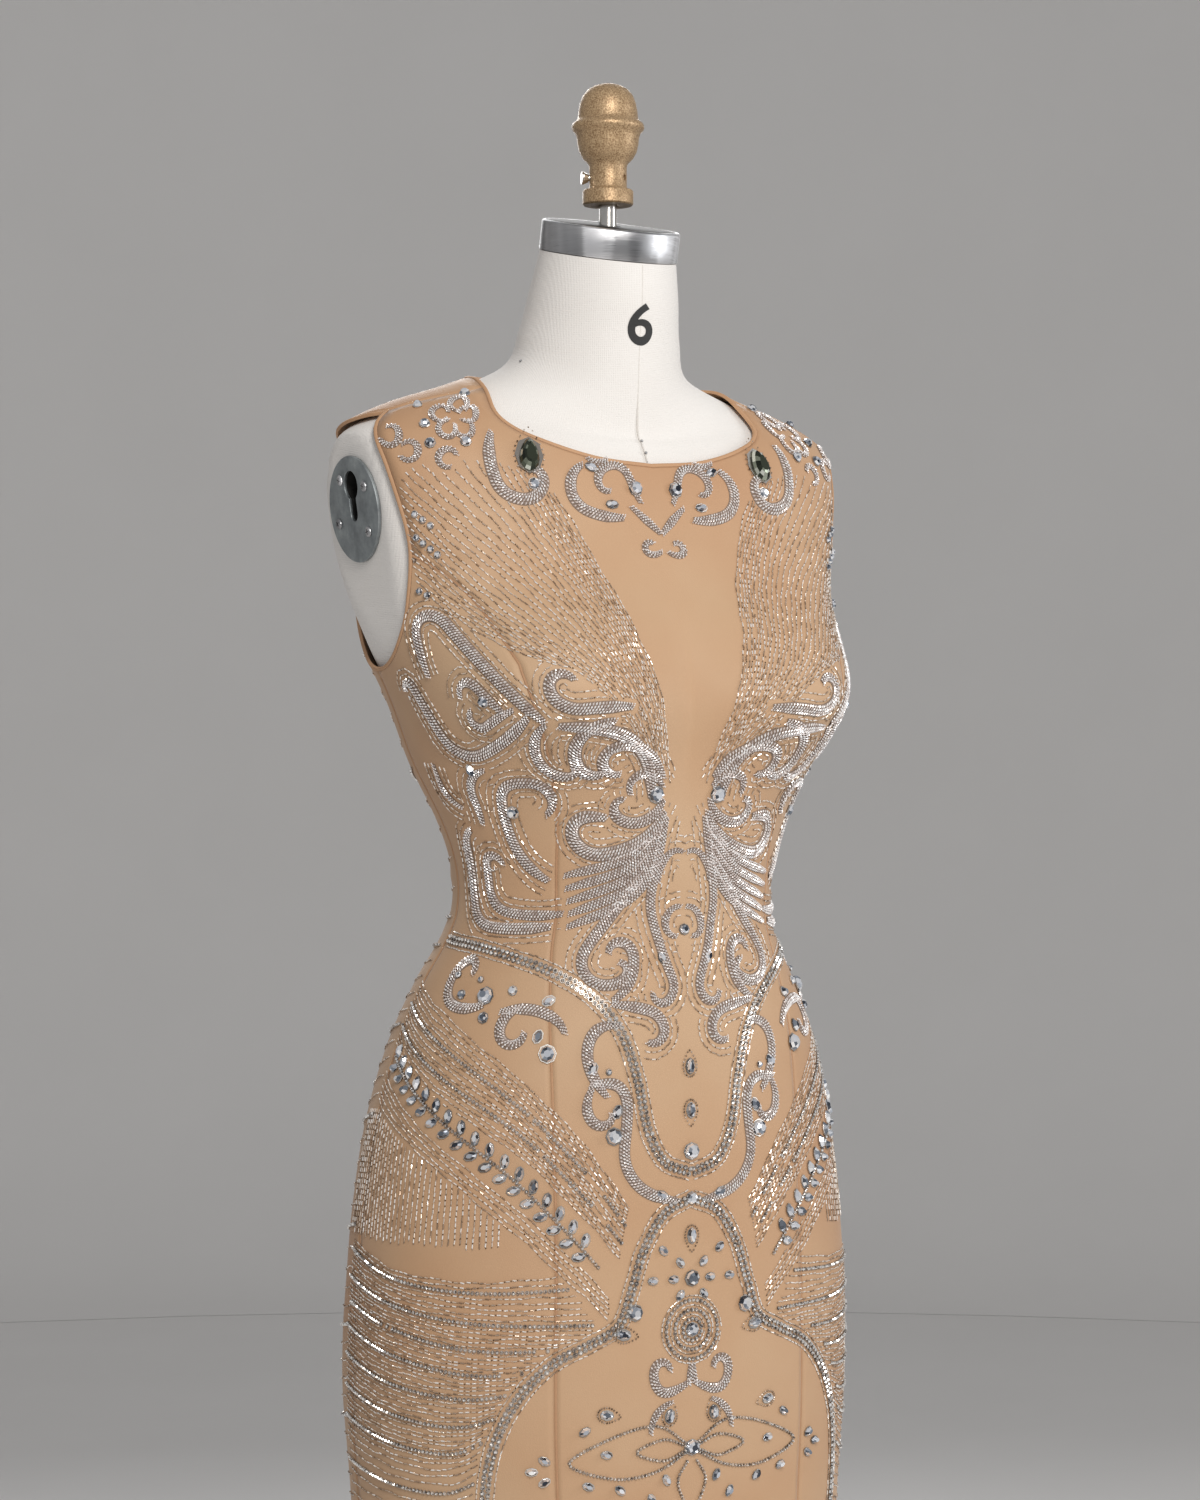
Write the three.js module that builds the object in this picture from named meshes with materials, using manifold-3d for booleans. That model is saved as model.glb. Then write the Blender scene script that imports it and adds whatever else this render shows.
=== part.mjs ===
// Sheath evening dress on a size 6 dress form with its stand, in millimetres, +Z up.
// The wearer's front faces -Y and the wearer's left is +X. The origin is on the floor, on the pole's axis.
// The dress is cut as a centre front, two side fronts and two backs with princess seams, a centre-back
// zip, bound neck and armholes, and raised beaded borders. It is worn by a limbless linen-covered form.

import * as THREE from 'three';
import * as BufferGeometryUtils from 'three/addons/utils/BufferGeometryUtils.js';
import Module from 'manifold-3d';

const wasm = await Module();
wasm.setup();

// Driving dimensions

const SEAM_GAP = 0.3;            // between pieces that are sewn or that touch
const CLOTH_CLEARANCE = 2.0;     // from the form's cover to the inside of the cloth
const CLOTH_THICKNESS = 1.5;
const CLOTH_OUTSIDE = CLOTH_CLEARANCE + CLOTH_THICKNESS;
const FORM_EASE = 1.3;           // how much smaller the form is than the cover that the dress is cut to
const HEM_HEIGHT = 26;
const FORM_BOTTOM = 655;
const NECK_TOP = 1470;           // where the metal cap starts, on the neck's axis
const FLUTES = 8;                // soft waves in the hem
const FLUTE_DEPTH = 11;          // from the mean line to a crest, at the hem
const FLUTE_TOP = 470;           // they die out at knee height
const BUST_HEIGHT = 1166;
const BUST_ANGLE = 39;           // degrees from the centre front
const BUST_SPREAD = 21;          // degrees
const BUST_FULLNESS = 37;
const BUST_ABOVE = 40;           // how far the fullness fades upwards
const BUST_BELOW = 33;           // and downwards
const SIDE_SEAM_ANGLE = 97;      // degrees from the centre front
const ARMHOLE_BASE = 1184;       // height of the underarm point

const degrees = THREE.MathUtils.degToRad;

// Sections of the form's cover, from the hem line to the neck's top. Each is a closed ring:
// height    at the sides of the ring
// width     half the width
// front     how far the centre front lies in front of the pole
// back      how far the centre back lies behind it
// middle    how far behind the pole the ring is widest
// square    exponent of the oval, 2 for an ellipse
// frontLift, backLift   how much higher the centre front and back are than the sides
// lean      slope of the ring's plane, rising to the back
const SECTIONS = [
  { height: 20, width: 222, front: 205, back: 205, middle: 0, square: 2, frontLift: 0, backLift: 0, lean: 0 },
  { height: 130, width: 201, front: 174, back: 180, middle: 0, square: 2, frontLift: 0, backLift: 0, lean: 0 },
  { height: 260, width: 178, front: 137, back: 152, middle: 2, square: 2.05, frontLift: 0, backLift: 0, lean: 0 },
  { height: 400, width: 164, front: 108, back: 134, middle: 6, square: 2.15, frontLift: 0, backLift: 0, lean: 0 },
  { height: 520, width: 166, front: 104.5, back: 135, middle: 11, square: 2.25, frontLift: 0, backLift: 0, lean: 0 },
  { height: 626, width: 171.5, front: 106, back: 138, middle: 14, square: 2.3, frontLift: 0, backLift: 0, lean: 0 },
  { height: 681, width: 175.5, front: 107, back: 141, middle: 14, square: 2.3, frontLift: 0, backLift: 0, lean: 0 },
  { height: 737, width: 176, front: 107, back: 143, middle: 12, square: 2.3, frontLift: 0, backLift: 0, lean: 0 },
  { height: 778, width: 174, front: 107, back: 144, middle: 10, square: 2.3, frontLift: 0, backLift: 0, lean: 0 },
  { height: 819, width: 170.5, front: 106.5, back: 145, middle: 9, square: 2.25, frontLift: 0, backLift: 0, lean: 0 },
  { height: 875, width: 162, front: 106, back: 142, middle: 8, square: 2.2, frontLift: 0, backLift: 0, lean: 0 },
  { height: 930, width: 148, front: 104, back: 128, middle: 5, square: 2.15, frontLift: 0, backLift: 0, lean: 0 },
  { height: 971, width: 131, front: 101, back: 111, middle: 3, square: 2.1, frontLift: 0, backLift: 0, lean: 0 },
  { height: 998, width: 116, front: 98.5, back: 96, middle: 1, square: 2.1, frontLift: 0, backLift: 0, lean: 0 },
  { height: 1020, width: 109.5, front: 96, back: 84, middle: -3, square: 2.1, frontLift: 0, backLift: 0, lean: 0 },
  { height: 1050, width: 110.5, front: 98, back: 82, middle: -5, square: 2.1, frontLift: 0, backLift: 0, lean: 0 },
  { height: 1081, width: 120, front: 99, back: 88, middle: -4, square: 2.1, frontLift: 0, backLift: 0, lean: 0 },
  { height: 1123, width: 138.5, front: 100, back: 101, middle: 2, square: 2.15, frontLift: 0, backLift: 0, lean: 0 },
  { height: 1164, width: 150, front: 101, back: 115, middle: 10, square: 2.2, frontLift: 0, backLift: 0, lean: 0 },
  { height: 1205, width: 163, front: 94, back: 131, middle: 22, square: 2.35, frontLift: 0, backLift: 0, lean: 0 },
  { height: 1245, width: 175, front: 78, back: 136, middle: 33, square: 2.5, frontLift: 0, backLift: 0, lean: 0 },
  { height: 1290, width: 186, front: 64, back: 130, middle: 39, square: 2.6, frontLift: -3, backLift: 2, lean: 0 },
  { height: 1322, width: 188.5, front: 58, back: 122, middle: 38, square: 2.5, frontLift: -10, backLift: 6, lean: 0 },
  { height: 1345, width: 181, front: 52, back: 112, middle: 34, square: 2.35, frontLift: -17, backLift: 9, lean: 0 },
  { height: 1362, width: 150, front: 46, back: 98, middle: 28, square: 2.2, frontLift: -24, backLift: 10, lean: 0 },
  { height: 1376, width: 106, front: 41, back: 87, middle: 21, square: 2.05, frontLift: -28, backLift: 8, lean: 0.04 },
  { height: 1392, width: 66, front: 41, back: 75, middle: 17, square: 2, frontLift: -18, backLift: 4, lean: 0.1 },
  { height: 1415, width: 56, front: 43, back: 68, middle: 12.5, square: 2, frontLift: 0, backLift: 0, lean: 0.17 },
  { height: 1445, width: 51, front: 46.5, back: 56.5, middle: 5, square: 2, frontLift: 0, backLift: 0, lean: 0.21 },
  { height: 1470, width: 47, front: 47, back: 47, middle: 0, square: 2, frontLift: 0, backLift: 0, lean: 0.2217 },
];

// The armhole's edge, as angle from the centre front and height, from the shoulder tip down the front,
// through the underarm point and up the back.
const ARMHOLE = [
  { angle: 83, height: 1355 },
  { angle: 75, height: 1326 },
  { angle: 70.5, height: 1292 },
  { angle: 69.5, height: 1258 },
  { angle: 74, height: 1218 },
  { angle: 84, height: 1192 },
  { angle: SIDE_SEAM_ANGLE, height: ARMHOLE_BASE },
  { angle: 109, height: 1195 },
  { angle: 117, height: 1225 },
  { angle: 119.5, height: 1262 },
  { angle: 118, height: 1298 },
  { angle: 111.5, height: 1329 },
  { angle: 99, height: 1347 },
  { angle: 83, height: 1355 },
];
const ARMHOLE_PRINCESS = 3;      // the row where the princess seam runs into the armhole
const ARMHOLE_UNDERARM = 6;      // the row where the side seam does

// The round neckline, from the centre front over the shoulder to the centre back.
const NECKLINE = [
  { angle: 0, height: 1332 },
  { angle: 25, height: 1337 },
  { angle: 51, height: 1354 },
  { angle: 77, height: 1376 },
  { angle: 105, height: 1380 },
  { angle: 140, height: 1377 },
  { angle: 180, height: 1373 },
];
const NECK_SHOULDER = 3;         // the row where the shoulder seam meets the neckline

// The princess seam, from the hem to the armhole.
const PRINCESS_SEAM = [
  { angle: 40, height: HEM_HEIGHT },
  { angle: 40, height: 500 },
  { angle: 42, height: 750 },
  { angle: 44, height: 880 },
  { angle: 47.5, height: 960 },
  { angle: 50.5, height: 1044 },
  { angle: 47.5, height: 1100 },
  { angle: 45, height: 1150 },
  { angle: 47, height: ARMHOLE_BASE },
];

// Heights of the rows of points that all panels share below the underarm
const PANEL_ROWS = [
  HEM_HEIGHT, 120, 220, 330, 430, 500, 570, 640, 705, 765, 820, 868, 910,
  945, 972, 992, 1010, 1030, 1058, 1088, 1114, 1138, 1160, ARMHOLE_BASE,
];

// A smooth curve through the rows of a table, read at the value `at` of the column `key`

function slopeAt(table, row, key, name) {
  const before = table[Math.max(0, row - 1)];
  const after = table[Math.min(table.length - 1, row + 1)];
  return (after[name] - before[name]) / (after[key] - before[key]);
}

function readTable(table, key, at, name) {
  const last = table.length - 1;
  let row = 0;
  while (row < last - 1 && at > table[row + 1][key]) row += 1;
  const low = table[row];
  const high = table[row + 1];
  const step = high[key] - low[key];
  const t = THREE.MathUtils.clamp((at - low[key]) / step, 0, 1);
  const slopeLow = slopeAt(table, row, key, name) * step;
  const slopeHigh = slopeAt(table, row + 1, key, name) * step;
  const t2 = t * t;
  const t3 = t2 * t;
  return (2 * t3 - 3 * t2 + 1) * low[name] + (t3 - 2 * t2 + t) * slopeLow
    + (3 * t2 - 2 * t3) * high[name] + (t3 - t2) * slopeHigh;
}

// Gives each row of a table its number, so that a curve can be read along its rows
const numbered = (table) => table.map((row, index) => ({ ...row, index }));
const armholeRows = numbered(ARMHOLE);
const readArmhole = (at) => ({
  angle: readTable(armholeRows, 'index', at, 'angle'),
  height: readTable(armholeRows, 'index', at, 'height'),
});

// The form's cover and everything parallel to it

function bustAt(angle, height) {
  const fade = height > BUST_HEIGHT ? BUST_ABOVE : BUST_BELOW;
  const across = (Math.abs(angle) - BUST_ANGLE) / BUST_SPREAD;
  const up = (height - BUST_HEIGHT) / fade;
  return BUST_FULLNESS * Math.exp(-(across * across + up * up) / 2);
}

function fluteAt(angle, height) {
  if (height >= FLUTE_TOP) return 0;
  const share = (FLUTE_TOP - height) / (FLUTE_TOP - HEM_HEIGHT);
  return FLUTE_DEPTH * share ** 1.6 * Math.cos(FLUTES * degrees(angle));
}

function coverPoint(angle, height) {
  const read = (name) => readTable(SECTIONS, 'height', height, name);
  const turn = degrees(angle);
  const ahead = Math.cos(turn);
  const middle = read('middle');
  const isFront = ahead > 0;
  const depth = isFront ? read('front') + middle : read('back') - middle;
  const square = read('square');
  const oval = (Math.abs(Math.sin(turn)) / read('width')) ** square
    + (Math.abs(ahead) / depth) ** square;
  const radius = oval ** (-1 / square) + bustAt(angle, height) + fluteAt(angle, height);
  const x = radius * Math.sin(turn);
  const y = middle - radius * ahead;
  const share = Math.min(1, Math.abs(y - middle) / depth);
  const lift = isFront ? read('frontLift') : read('backLift');
  return new THREE.Vector3(x, y, height + lift * share * share + read('lean') * (y - middle));
}

// A point that stands `away` from the cover, along the cover's own normal
function coverNormal(angle, height) {
  const angleStep = 0.5;
  const heightStep = 2;
  const around = coverPoint(angle + angleStep, height).sub(coverPoint(angle - angleStep, height));
  const up = coverPoint(angle, height + heightStep).sub(coverPoint(angle, height - heightStep));
  return around.cross(up).normalize();
}

function pointOff(angle, height, away) {
  return coverPoint(angle, height).addScaledVector(coverNormal(angle, height), away);
}

// Solids from grids of points. A grid is a list of rows, and each row a list of points.

function meshFrom(points, triangles) {
  const geometry = new THREE.BufferGeometry();
  geometry.setAttribute('position', new THREE.Float32BufferAttribute(points.flatMap((p) => p.toArray()), 3));
  geometry.setIndex(triangles.flat());
  return geometry;
}

// A wall between an outer and an inner grid of the same size, closed along its four edges
function wallSolid(outer, inner) {
  const rows = outer.length;
  const columns = outer[0].length;
  const points = [...outer.flat(), ...inner.flat()];
  const at = (side, row, column) => side * rows * columns + row * columns + column;
  const triangles = [];
  const quad = (a, b, c, d) => triangles.push([a, b, c], [a, c, d]);
  for (let r = 0; r < rows - 1; r += 1) {
    for (let c = 0; c < columns - 1; c += 1) {
      quad(at(0, r, c), at(0, r, c + 1), at(0, r + 1, c + 1), at(0, r + 1, c));
      quad(at(1, r, c), at(1, r + 1, c), at(1, r + 1, c + 1), at(1, r, c + 1));
    }
    quad(at(0, r, 0), at(0, r + 1, 0), at(1, r + 1, 0), at(1, r, 0));
    quad(at(0, r + 1, columns - 1), at(0, r, columns - 1), at(1, r, columns - 1), at(1, r + 1, columns - 1));
  }
  for (let c = 0; c < columns - 1; c += 1) {
    quad(at(0, 0, c + 1), at(0, 0, c), at(1, 0, c), at(1, 0, c + 1));
    quad(at(0, rows - 1, c), at(0, rows - 1, c + 1), at(1, rows - 1, c + 1), at(1, rows - 1, c));
  }
  return meshFrom(points, triangles);
}

// A bar through closed sections of the same number of points; it ends in flat faces, or closes on itself
function barSolid(sections, isRing) {
  const sides = sections[0].length;
  const count = sections.length;
  const points = sections.flat();
  const triangles = [];
  const spans = isRing ? count : count - 1;
  for (let s = 0; s < spans; s += 1) {
    const here = s * sides;
    const next = ((s + 1) % count) * sides;
    for (let k = 0; k < sides; k += 1) {
      const other = (k + 1) % sides;
      triangles.push([here + k, here + other, next + other], [here + k, next + other, next + k]);
    }
  }
  if (!isRing) {
    const last = (count - 1) * sides;
    for (let k = 1; k < sides - 1; k += 1) {
      triangles.push([0, k + 1, k], [last, last + k, last + k + 1]);
    }
  }
  return meshFrom(points, triangles);
}

// Nodes

const dress = new THREE.Group();
const form = new THREE.Group();
const garmentOnForm = new THREE.Group();
garmentOnForm.add(dress, form);

const tulle = new THREE.MeshStandardMaterial({ color: 0xc89a6c, roughness: 0.75, metalness: 0 });
const binding = new THREE.MeshStandardMaterial({ color: 0xb9814f, roughness: 0.7, metalness: 0 });
const beading = new THREE.MeshStandardMaterial({ color: 0xc9bfb6, roughness: 0.25, metalness: 0.6 });
const crystal = new THREE.MeshStandardMaterial({ color: 0x6f7a6a, roughness: 0.05, metalness: 0.1 });
const linen = new THREE.MeshStandardMaterial({ color: 0xe4ded7, roughness: 0.85, metalness: 0 });
const steel = new THREE.MeshStandardMaterial({ color: 0xb4b8bb, roughness: 0.25, metalness: 1 });
const zinc = new THREE.MeshStandardMaterial({ color: 0x8e979b, roughness: 0.45, metalness: 0.9 });
const bronze = new THREE.MeshStandardMaterial({ color: 0xa97f4d, roughness: 0.5, metalness: 0.7 });
const enamel = new THREE.MeshStandardMaterial({ color: 0x2b2b2d, roughness: 0.5, metalness: 0.3 });

// Leaves positions only, with one vertex per corner
function welded(geometry) {
  geometry.deleteAttribute('normal');
  geometry.deleteAttribute('uv');
  return BufferGeometryUtils.mergeVertices(geometry, 1e-4);
}

function addNode(group, name, geometry, material) {
  const mesh = new THREE.Mesh(welded(geometry), material);
  mesh.name = name;
  group.add(mesh);
  return mesh;
}

function volumeOf(geometry) {
  const position = geometry.getAttribute('position');
  const index = geometry.getIndex().array;
  const corner = (n) => new THREE.Vector3().fromBufferAttribute(position, index[n]);
  let volume = 0;
  for (let n = 0; n < index.length; n += 3) {
    volume += corner(n).dot(corner(n + 1).cross(corner(n + 2))) / 6;
  }
  return volume;
}

// Turns a closed mesh right side out if its faces point inwards
function facingOut(loose) {
  const geometry = welded(loose);
  if (volumeOf(geometry) < 0) {
    const index = geometry.getIndex().array;
    for (let n = 0; n < index.length; n += 3) {
      [index[n + 1], index[n + 2]] = [index[n + 2], index[n + 1]];
    }
  }
  return geometry;
}

// Turns a closed mesh into a solid for cutting, and back
function solidFrom(geometry) {
  const merged = welded(geometry);
  const position = merged.getAttribute('position').array;
  const mesh = new wasm.Mesh({
    numProp: 3,
    vertProperties: new Float32Array(position),
    triVerts: new Uint32Array(merged.getIndex().array),
  });
  return new wasm.Manifold(mesh);
}

function geometryFrom(solid) {
  const mesh = solid.getMesh();
  const geometry = new THREE.BufferGeometry();
  geometry.setAttribute('position', new THREE.BufferAttribute(mesh.vertProperties, 3));
  geometry.setIndex(new THREE.BufferAttribute(mesh.triVerts, 1));
  return geometry;
}

const cutFrom = (body, tools) => {
  let solid = solidFrom(body);
  for (const tool of tools) solid = solid.subtract(solidFrom(tool));
  return geometryFrom(solid);
};

function extruded(shape, from, to, curveSegments) {
  const geometry = new THREE.ExtrudeGeometry(shape, { depth: to - from, bevelEnabled: false, curveSegments });
  geometry.translate(0, 0, from);
  return geometry;
}

// Cloth panels. A panel is a grid of places, each an angle and a height on the cover.

// A place moved by `distance` around the body, so that panels keep a gap at a seam
function asideBy(place, distance) {
  const here = coverPoint(place.angle, place.height);
  const radius = Math.hypot(here.x, here.y - readTable(SECTIONS, 'height', place.height, 'middle'));
  return { angle: place.angle + THREE.MathUtils.radToDeg(distance / radius), height: place.height };
}

const mix = (a, b, t) => ({
  angle: a.angle + (b.angle - a.angle) * t,
  height: a.height + (b.height - a.height) * t,
});

// Fills a patch above a level row: `first` and `last` are its sides, from the bottom up, and `top` its
// upper edge. The top's shape fades out quickly downwards, so that no column crosses a curved side.
const TOP_FADE = 3;

function patchPlaces(top, first, last) {
  const columns = top.length - 1;
  const rows = first.length - 1;
  return first.map((_, r) => top.map((__, c) => {
    const level = mix(first[r], last[r], c / columns);
    const straightTop = mix(first[rows], last[rows], c / columns);
    const share = (r / rows) ** TOP_FADE;
    return {
      angle: level.angle + share * (top[c].angle - straightTop.angle),
      height: level.height + share * (top[c].height - straightTop.height),
    };
  }));
}

function panelSolid(places) {
  const grid = (away) => places.map((row) => row.map((p) => pointOff(p.angle, p.height, away)));
  return facingOut(wallSolid(grid(CLOTH_OUTSIDE), grid(CLOTH_CLEARANCE)));
}

const spread = (from, to, columns) => Array.from({ length: columns + 1 }, (_, c) => mix(from, to, c / columns));
const steps = (from, to, count) => Array.from({ length: count + 1 }, (_, n) => from + ((to - from) * n) / count);

// Seams and edges on the wearer's left, where angles are positive
const princessAt = (height) => readTable(PRINCESS_SEAM, 'height', height, 'angle');
const SLANTED_SEAM_GAP = 0.6;      // measured level, where the seam slants to the armhole
const PRINCESS_SHARES = [0, 0.25, 0.5, 0.75, 0.93, 1];
const ARMHOLE_FRONT_STEPS = 5;
const ARMHOLE_BACK_STEPS = 14;

// Above the underarm the princess seam curves out to the armhole
const princessTop = PRINCESS_SHARES.map((t) => {
  const start = { angle: princessAt(ARMHOLE_BASE), height: ARMHOLE_BASE };
  const end = readArmhole(ARMHOLE_PRINCESS);
  const bend = 0.8;
  const rise = Math.sin((t * Math.PI) / 2);
  return {
    angle: start.angle + (end.angle - start.angle) * (t * bend + (1 - bend) * t * t),
    height: start.height + (end.height - start.height) * (0.6 * t + 0.4 * rise),
  };
});
const armholeUnder = PRINCESS_SHARES.map((t) => readArmhole(
  ARMHOLE_UNDERARM + (ARMHOLE_PRINCESS - ARMHOLE_UNDERARM) * t,
));
const armholeFront = steps(ARMHOLE_PRINCESS, 0, ARMHOLE_FRONT_STEPS).map(readArmhole);
const armholeBack = steps(ARMHOLE_UNDERARM, ARMHOLE.length - 1, ARMHOLE_BACK_STEPS).map(readArmhole);
const shoulderTip = readArmhole(0);
const neckPoint = NECKLINE[NECK_SHOULDER];
const readNeckline = (angle) => ({ angle, height: readTable(NECKLINE, 'angle', angle, 'height') });

const mirrored = (place) => ({ angle: -place.angle, height: place.height });

const FRONT_COLUMNS = 9;          // in each half of the centre front
const BACK_COLUMNS = 12;
const RIDGE_COLUMNS = 2;          // along the shoulder seam
const FRONT_NECK_STEPS = FRONT_COLUMNS - RIDGE_COLUMNS;
const BACK_NECK_STEPS = BACK_COLUMNS - RIDGE_COLUMNS;

function frontCentrePanel() {
  const edgeGap = SEAM_GAP / 2;
  const lower = PANEL_ROWS.slice(0, -1).map((height) => {
    const edge = asideBy({ angle: princessAt(height), height }, -edgeGap);
    return spread(mirrored(edge), edge, 2 * FRONT_COLUMNS);
  });
  const edgeUp = [
    ...princessTop.map((place) => asideBy(place, -SLANTED_SEAM_GAP / 2)),
    ...armholeFront.slice(1).map((place) => asideBy(place, -edgeGap)),
  ];
  const ridge = steps(0, 1, RIDGE_COLUMNS).map((t) => mix(neckPoint, edgeUp.at(-1), t));
  const neck = steps(0, neckPoint.angle, FRONT_NECK_STEPS).map(readNeckline);
  const topHalf = [...neck, ...ridge.slice(1)];
  const top = [...topHalf.slice(1).reverse().map(mirrored), ...topHalf];
  const upper = patchPlaces(top, edgeUp.map(mirrored), edgeUp);
  return panelSolid([...lower, ...upper]);
}

function sideFrontPanel(side) {
  const columns = 7;
  const edgeGap = SEAM_GAP / 2;
  const lower = PANEL_ROWS.slice(0, -1).map((height) => spread(
    asideBy({ angle: princessAt(height), height }, edgeGap),
    asideBy({ angle: SIDE_SEAM_ANGLE, height }, -edgeGap),
    columns,
  ));
  const upper = princessTop.slice(0, -1).map((place, row) => {
    const outer = row === 0 ? asideBy(armholeUnder[0], -edgeGap) : armholeUnder[row];
    return spread(asideBy(place, SLANTED_SEAM_GAP / 2), outer, columns);
  });
  const places = [...lower, ...upper];
  return panelSolid(side < 0 ? places.map((row) => row.map(mirrored)) : places);
}

// The zip runs from the neckline to the hip; below it the backs are sewn edge to edge
const ZIP_WIDTH = 7;
const ZIP_BASE = 868;
const backEdgeGap = (height) => (height >= ZIP_BASE ? ZIP_WIDTH / 2 + SEAM_GAP : SEAM_GAP / 2);

function backPanel(side) {
  const edgeGap = SEAM_GAP / 2;
  const centreBack = (height) => asideBy({ angle: 180, height }, -backEdgeGap(height));
  const lower = PANEL_ROWS.slice(0, -1).map((height) => spread(
    asideBy({ angle: SIDE_SEAM_ANGLE, height }, edgeGap),
    centreBack(height),
    BACK_COLUMNS,
  ));
  const sideEdge = armholeBack.map((place, row) => (row === 0 ? asideBy(place, edgeGap) : place));
  sideEdge[sideEdge.length - 1] = shoulderBack(shoulderTip);
  const backTop = NECKLINE.at(-1).height;
  const centreEdge = steps(ARMHOLE_BASE, backTop, ARMHOLE_BACK_STEPS).map(centreBack);
  const ridge = steps(0, 1, RIDGE_COLUMNS).map((t) => shoulderBack(mix(shoulderTip, neckPoint, t)));
  const neck = steps(neckPoint.angle, centreEdge.at(-1).angle, BACK_NECK_STEPS).map(readNeckline);
  const top = [...ridge, ...neck.slice(1)];
  const places = [...lower, ...patchPlaces(top, sideEdge, centreEdge)];
  return panelSolid(side < 0 ? places.map((row) => row.map(mirrored)) : places);
}

// The back's edge of the shoulder seam, a seam's gap behind the front's
function shoulderBack(place) {
  return asideBy(place, SEAM_GAP * 1.5);
}

addNode(dress, 'front_centre_panel', frontCentrePanel(), tulle);
addNode(dress, 'side_front_left', sideFrontPanel(1), tulle);
addNode(dress, 'side_front_right', sideFrontPanel(-1), tulle);
addNode(dress, 'back_left', backPanel(1), tulle);
addNode(dress, 'back_right', backPanel(-1), tulle);

// What is laid on the panels: a bar or a boss whose points stand off the cover like the cloth's

const STONE_BASE = CLOTH_OUTSIDE + 0.5;
const TRIM_BASE = CLOTH_OUTSIDE + 1.1;     // clear of the facets where the cloth curves inwards

// A place moved over the cover by a real distance in the direction of a vector that lies on it
function placeToward(place, direction, distance) {
  const here = coverPoint(place.angle, place.height);
  const around = coverPoint(place.angle + 1, place.height).sub(here);
  const up = coverPoint(place.angle, place.height + 1).sub(here);
  const cross = around.dot(up);
  const along = direction.dot(around);
  const rise = direction.dot(up);
  const area = around.lengthSq() * up.lengthSq() - cross * cross;
  return {
    angle: place.angle + (distance * (along * up.lengthSq() - rise * cross)) / area,
    height: place.height + (distance * (rise * around.lengthSq() - along * cross)) / area,
  };
}

// A bar along places on the cover. Each row of `profile` is { across, away }: across the path, positive
// to the left of its direction as seen from outside, and away from the cover.
function trimAlong(places, profile, isRing) {
  const centres = places.map((place) => pointOff(place.angle, place.height, CLOTH_OUTSIDE));
  const count = places.length;
  const sections = places.map((place, n) => {
    const before = isRing ? centres[(n + count - 1) % count] : centres[Math.max(0, n - 1)];
    const after = isRing ? centres[(n + 1) % count] : centres[Math.min(count - 1, n + 1)];
    const arriving = centres[n].clone().sub(before).normalize();
    const leaving = after.clone().sub(centres[n]).normalize();
    const along = arriving.add(leaving).normalize();
    const corner = leaving.lengthSq() > 0 ? Math.max(0.6, along.dot(leaving)) : 1;
    const across = coverNormal(place.angle, place.height).cross(along).normalize();
    return profile.map((p) => {
      const foot = placeToward(place, across, p.across / corner);
      return pointOff(foot.angle, foot.height, p.away);
    });
  });
  return facingOut(barSolid(sections, isRing));
}

// Narrow bias bindings outside the panels' edges
const BINDING_WIDTH = 3.6;
const bindingProfile = (side) => [
  { across: side * SEAM_GAP, away: CLOTH_CLEARANCE - 0.3 },
  { across: side * SEAM_GAP, away: CLOTH_OUTSIDE + 0.7 },
  { across: side * (SEAM_GAP + BINDING_WIDTH), away: CLOTH_OUTSIDE + 0.7 },
  { across: side * (SEAM_GAP + BINDING_WIDTH), away: CLOTH_CLEARANCE - 0.3 },
];

function neckBinding() {
  const backTop = NECKLINE.at(-1);
  const zipEdge = asideBy(backTop, -backEdgeGap(backTop.height));
  const front = steps(0, neckPoint.angle, FRONT_NECK_STEPS).map(readNeckline);
  const back = steps(neckPoint.angle, zipEdge.angle, BACK_NECK_STEPS).map(readNeckline).slice(1);
  const half = [...front, ...back];
  return trimAlong([...half.slice(1).reverse().map(mirrored), ...half], bindingProfile(1), false);
}

function armholeBinding(side) {
  const loop = [...armholeUnder.slice(0, -1), ...armholeFront, ...armholeBack.slice(1, -1).reverse()];
  const places = side < 0 ? loop.map(mirrored) : loop;
  return trimAlong(places, bindingProfile(-side), true);
}

addNode(dress, 'neck_binding', neckBinding(), binding);
addNode(dress, 'armhole_binding_left', armholeBinding(1), binding);
addNode(dress, 'armhole_binding_right', armholeBinding(-1), binding);

// The zip: its tape and teeth fill the gap between the backs

const ZIP_TOP = 1370;
const zipSteps = [ZIP_BASE + 1, ...PANEL_ROWS.filter((h) => h > ZIP_BASE + 1), 1203, 1222, 1241, 1260, 1279, 1298, 1316, 1335, 1354, ZIP_TOP];

function zipTape() {
  const half = ZIP_WIDTH / 2;
  const profile = [
    { across: -half, away: CLOTH_CLEARANCE },
    { across: -half, away: CLOTH_OUTSIDE - 0.4 },
    { across: -1.6, away: CLOTH_OUTSIDE - 0.4 },
    { across: -1.6, away: CLOTH_OUTSIDE + 0.5 },
    { across: 1.6, away: CLOTH_OUTSIDE + 0.5 },
    { across: 1.6, away: CLOTH_OUTSIDE - 0.4 },
    { across: half, away: CLOTH_OUTSIDE - 0.4 },
    { across: half, away: CLOTH_CLEARANCE },
  ];
  return trimAlong(zipSteps.map((height) => ({ angle: 180, height })), profile, false);
}

addNode(dress, 'zip_tape', zipTape(), binding);

// The slider at the top of the zip, with a pull tab that swings on its pin

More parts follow.
